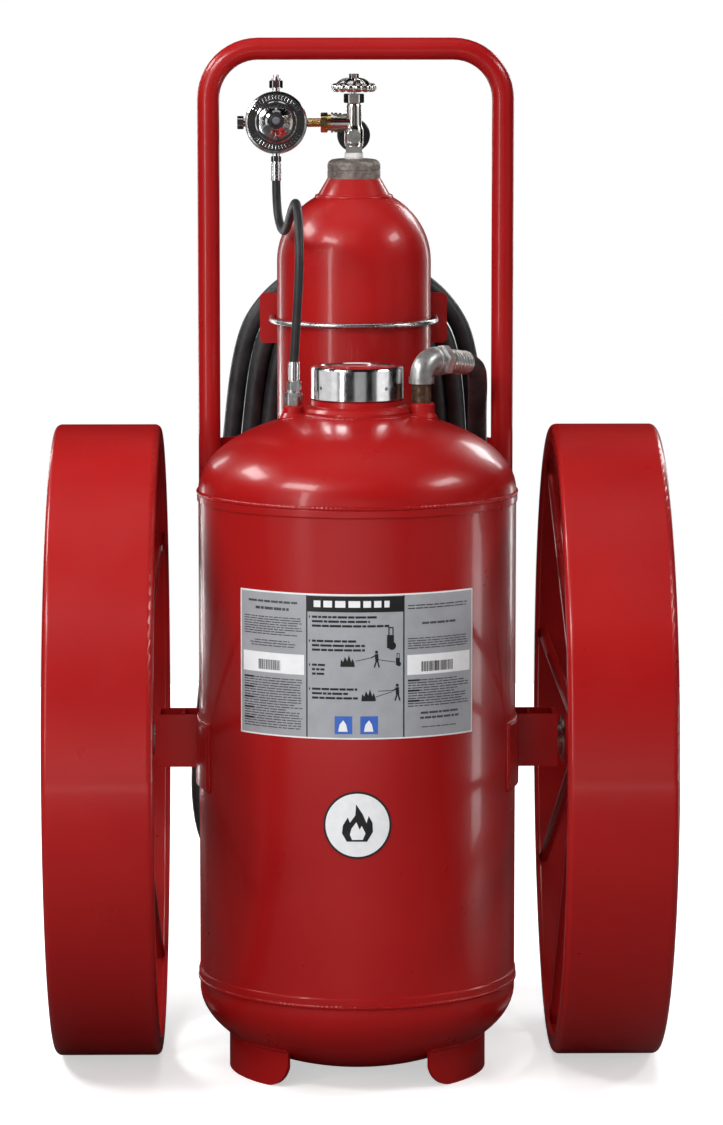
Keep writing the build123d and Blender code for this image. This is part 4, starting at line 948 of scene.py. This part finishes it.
AIM_Z, SWEEP_Z = HIGH - 0.101, HIGH - 0.149  # the two rows of pictures
PICTURES = [
    (TANKER, RULE_2 - 0.019, HIGH - 0.078, 0.022),
    (FIRE, RULE_1 + 0.057, AIM_Z, 0.016),
    (PERSON, RULE_1 + 0.097, AIM_Z - 0.001, 0.0125),
    (TANKER, RULE_2 - 0.0085, AIM_Z, 0.0125),
    (FIRE, RULE_1 + 0.086, SWEEP_Z, 0.016),
    (PERSON, RULE_1 + 0.126, SWEEP_Z, 0.0125),
]
JETS_AND_HOSE = [  # both ends of each line
    (RULE_1 + 0.068, AIM_Z + 0.008, RULE_1 + 0.0885, AIM_Z + 0.0125),
    (RULE_1 + 0.099, AIM_Z + 0.010, RULE_2 - 0.012, AIM_Z + 0.006),
    (RULE_1 + 0.096, SWEEP_Z + 0.006, RULE_1 + 0.118, SWEEP_Z + 0.0125),
    (RULE_1 + 0.099, SWEEP_Z + 0.014, RULE_1 + 0.118, SWEEP_Z + 0.0145),
]
BLUE_BOXES = (-0.0345, 0.0010)  # their left edges
BARS = ((LEFT_0 + 0.026, 18), (RIGHT_0 + 0.020, 27))  # where each run of bars starts, and its count


def text_rows(rng, x0, x1, top, rows, pitch, height, centred=False):
    """Rows of plain dashes in the place of text, some of them shorter."""
    dashes = []
    for row in range(rows):
        z = top - row * pitch
        ragged = rng.random() < 0.35 or centred
        spare = rng.uniform(0.0, 0.3 if ragged else 0.05) * (x1 - x0)
        start = x0 + 0.5 * spare if centred else x0
        stop = x1 - 0.5 * spare if centred else x1 - spare
        while start < stop - 0.002:
            end = min(stop, start + rng.uniform(0.004, 0.016))
            dashes.append(box_outline(start, z, end, z + height))
            start = end + 0.0014
    return dashes


def middle_steps(rng):
    """The middle panel's four steps: three rows each, behind a short mark."""
    marks = []
    for step, wide in enumerate(STEP_WIDTHS):
        top = HIGH - STEP_PITCH * (step + 1)
        marks += text_rows(rng, RULE_1 + 0.0075, RULE_1 + wide, top, 3, 0.0062, 0.003)
        marks.append(box_outline(RULE_1 + 0.003, top, RULE_1 + 0.0046, top + 0.003))
    return marks


def note_headings():
    """A dark bar over every fourth row of the long notes."""
    return [box_outline(x, NOTES_TOP - row * NOTES_PITCH - 0.0004,
                        x + 0.017, NOTES_TOP - row * NOTES_PITCH + 0.0020)
            for x, rows in NOTES for row in range(0, rows, 4)]


def header_blocks(rng):
    """The pale blocks in the middle panel's dark header."""
    blocks = []
    x = RULE_1 + 0.010
    while x < RULE_2 - 0.018:
        wide = rng.uniform(0.006, 0.017)
        blocks.append(box_outline(x, HIGH - 0.0185, x + wide, HIGH - 0.0093))
        x += wide + 0.0042
    return blocks


def upright_bars(rng):
    """Runs of upright bars in the two white boxes, which can't be read."""
    bars = []
    for x, count in BARS:
        for number in range(count):
            wide = rng.choice((0.0006, 0.0011, 0.0017))
            bars.append(box_outline(x, LOW + 0.0925, x + wide, LOW + 0.1065))
            x += wide + rng.choice((0.0006, 0.0010))
    return bars


def add_label():
    """A plain instruction plate in three panels, with rules and pictures but no writing."""
    bent_plates("label_border", [box_outline(LEFT, LOW, RIGHT, HIGH)], LABEL_WHITE, 0.0003)
    plate = box_outline(LEFT + EDGE, LOW + EDGE, RIGHT - EDGE, HIGH - EDGE)
    bent_plates("label_plate", [plate], LABEL_SILVER, 0.00056)
    rng = random.Random(11)
    grey = []
    for block in SIDE_TEXT:
        grey += text_rows(rng, *block)
    black = [box_outline(x - RULE_HALF, LOW + EDGE, x + RULE_HALF, HIGH - EDGE) for x in (RULE_1, RULE_2)]
    black.append(box_outline(RULE_1, HIGH - 0.025, RULE_2, HIGH - EDGE - 0.001))
    black += middle_steps(rng)
    black += note_headings()
    for picture, x, z, size in PICTURES:
        black += [placed(outline, x, z, size) for outline in picture]
    black += [stroke(*ends, 0.0008) for ends in JETS_AND_HOSE]
    header = header_blocks(rng)
    black += upright_bars(rng)
    white = [box_outline(LEFT_0 - 0.002, LOW + 0.0885, LEFT_1 + 0.002, LOW + 0.1165),
             box_outline(RIGHT_0 - 0.001, LOW + 0.0885, RIGHT_1 + 0.002, LOW + 0.1165)]
    blue = [box_outline(x, LOW + 0.0075, x + 0.0245, LOW + 0.0325) for x in BLUE_BOXES]
    pale = [placed(PALE_MARK, x, LOW + 0.011, 1.0) for x in BLUE_BOXES]
    bent_plates("label_lines", grey, LABEL_GREY, 0.00082, 0.00012)
    bent_plates("label_white_boxes", white, LABEL_WHITE, 0.00082, 0.00014)
    bent_plates("label_blue_boxes", blue, LABEL_BLUE, 0.00082, 0.00014)
    bent_plates("label_pale_marks", pale, LABEL_WHITE, 0.00098, 0.00012)
    bent_plates("label_black_marks", black, LABEL_BLACK, 0.001, 0.00012)
    bent_plates("label_header_marks", header, LABEL_WHITE, 0.00114, 0.00012)


# ---- badge ----
BADGE_AT = (-0.003, 0.3915)  # x and z of its middle
BADGE_R = 0.0475
FLAME_SIZE = 0.037


def add_badge():
    """A plain round badge with a flame, low on the tank's front."""
    rim = disc_outline(*BADGE_AT, BADGE_R, 56)
    face = disc_outline(*BADGE_AT, BADGE_R - 0.003, 56)
    flame = placed(BADGE_FLAME, *BADGE_AT, FLAME_SIZE)
    core = placed(BADGE_CORE, *BADGE_AT, FLAME_SIZE)
    bent_plates("badge_rim", [rim], LABEL_BLACK, 0.0003)
    bent_plates("badge_face", [face], LABEL_WHITE, 0.0006)
    bent_plates("badge_flame", [flame], LABEL_BLACK, 0.0009)
    bent_plates("badge_flame_core", [core], LABEL_WHITE, 0.0012)


add_label()
add_badge()


# ---- studio ----
def add_disc(name, radius, height, low, high, glow=0.0):
    """A round sheet of paper on the floor, between two shades of grey."""
    paper = Shader(name + "_paper", (high, high, high), roughness=0.9)
    paper.colour(paper.noise(0.7, 2.0, 0.5), [(0.3, (low, low, low)), (0.7, (high, high, high))])
    paper.set("Emission Color", (1.0, 1.0, 1.0, 1.0))
    paper.set("Emission Strength", glow)
    source = bmesh.new()
    bmesh.ops.create_circle(source, cap_ends=True, segments=96, radius=radius)
    for vert in source.verts:
        vert.co.z = height
    mesh = bpy.data.meshes.new(name)
    source.to_mesh(mesh)
    source.free()
    disc = bpy.data.objects.new(name, mesh)
    bpy.context.scene.collection.objects.link(disc)
    dress(disc, paper.material)
    return disc


def area_light(name, place, aim, width, height, power, glossy=True, only=None):
    """A soft rectangular lamp, which can stay out of mirror images or light only one group."""
    data = bpy.data.lights.new(name, "AREA")
    data.shape = "RECTANGLE"
    data.size = width
    data.size_y = height
    data.energy = power
    lamp = bpy.data.objects.new(name, data)
    lamp.location = place
    lamp.rotation_euler = (Vector(aim) - Vector(place)).to_track_quat("-Z", "Y").to_euler()
    lamp.visible_camera = False
    lamp.visible_glossy = glossy
    if only:
        lamp.light_linking.receiver_collection = only
    bpy.context.scene.collection.objects.link(lamp)


def bright_metal():
    """The pieces in the bright finishes, which the metal cards light on their own."""
    group = bpy.data.collections.new("bright_metal")
    finishes = {CHROME, NICKEL, ZINC, COUPLING_STEEL, BRASS}
    for piece in bpy.context.scene.objects:
        if piece.type == "MESH" and finishes & set(piece.data.materials):
            group.objects.link(piece)
    return group


def add_studio():
    """A pale floor under a white sky, fills that no surface mirrors, softboxes, strips and cards."""
    seen = add_disc("studio_floor", 3.4, 0.0, 0.89, 0.92, glow=0.5)
    seen.visible_diffuse = False
    seen.visible_glossy = False
    bounce = add_disc("studio_floor_bounce", 5.0, -0.0005, 0.54, 0.58)
    bounce.visible_camera = False

    middle = (0.0, 0.0, 0.8)
    head = (0.0, TANK_Y, 0.87)
    # each lamp: name, place, aim, width, height, power
    fills = [
        ("front_fill", (-1.4, -5.8, 1.0), middle, 4.0, 3.0, 106),
        ("front_top_fill", (-0.8, -3.0, 4.0), (0.0, 0.0, 0.7), 2.6, 1.6, 55),
        ("low_front_fill", (0.0, -4.2, 0.35), (0.0, 0.0, 0.2), 3.6, 0.5, 42),
        ("top_fill", (0.0, 0.2, 4.6), (0.0, 0.1, 0.5), 3.2, 2.4, 70),
        ("rear_fill", (0.4, 4.0, 3.4), middle, 2.6, 1.6, 110),
    ]
    mirrored = [
        ("left_softbox", (-2.5, 0.5, 3.0), head, 1.3, 0.6, 36),
        ("left_front_softbox", (-1.9, -1.8, 2.9), head, 1.3, 0.6, 40),
        ("right_softbox", (2.6, -0.7, 2.9), head, 1.2, 0.5, 26),
        ("right_rear_softbox", (1.8, 3.1, 2.5), middle, 0.9, 0.7, 15),
        ("left_tall_strip", (-2.8, -3.55, 1.8), (0.0, CYL_Y, 1.8), 0.4, 2.7, 34),
        ("left_strip", (-2.0, 3.0, 1.2), middle, 0.3, 2.4, 12),
        ("right_strip", (2.1, 3.0, 1.2), middle, 0.25, 2.2, 12),
        ("left_low_strip", (-0.95, 1.5, 0.45), (-0.2, -0.15, 0.45), 0.14, 0.8, 2.6),
        ("right_low_card", (1.7, -0.1, 0.36), (0.2, -0.1, 0.4), 0.28, 0.6, 3.0),
        ("left_card", (-3.4, -3.0, 1.4), middle, 3.0, 2.6, 5),
        ("right_card", (3.4, -2.6, 1.4), middle, 2.6, 2.6, 3),
        ("camera_card", (0.0, -9.0, 2.0), middle, 7.0, 3.0, 2.5),
    ]
    metal_cards = [
        ("metal_left_card", (-3.9, -0.7, 1.2), middle, 4.6, 3.0, 36),
        ("metal_right_card", (3.6, -1.6, 1.2), middle, 2.6, 3.0, 26),
        ("metal_floor_card", (0.9, -8.0, 0.1), middle, 4.0, 2.0, 10),
        ("metal_rear_card", (0.0, 4.6, 1.5), middle, 4.6, 2.6, 15),
        ("metal_top_card", (0.0, 0.0, 4.5), middle, 2.6, 2.6, 22),
    ]
    for lamp in fills:
        area_light(*lamp, glossy=False)
    for lamp in mirrored:
        area_light(*lamp)
    metal = bright_metal()
    for lamp in metal_cards:
        area_light(*lamp, only=metal)
    world = bpy.data.worlds.new("studio_world")
    world.use_nodes = True
    sky = world.node_tree.nodes["Background"]
    sky.inputs["Color"].default_value = (1.0, 1.0, 1.0, 1.0)
    sky.inputs["Strength"].default_value = 1.0
    world.cycles_visibility.diffuse = False
    world.cycles_visibility.glossy = False
    bpy.context.scene.world = world


add_studio()
bpy.context.scene.view_settings.view_transform = "Standard"

bpy.context.view_layer.update()
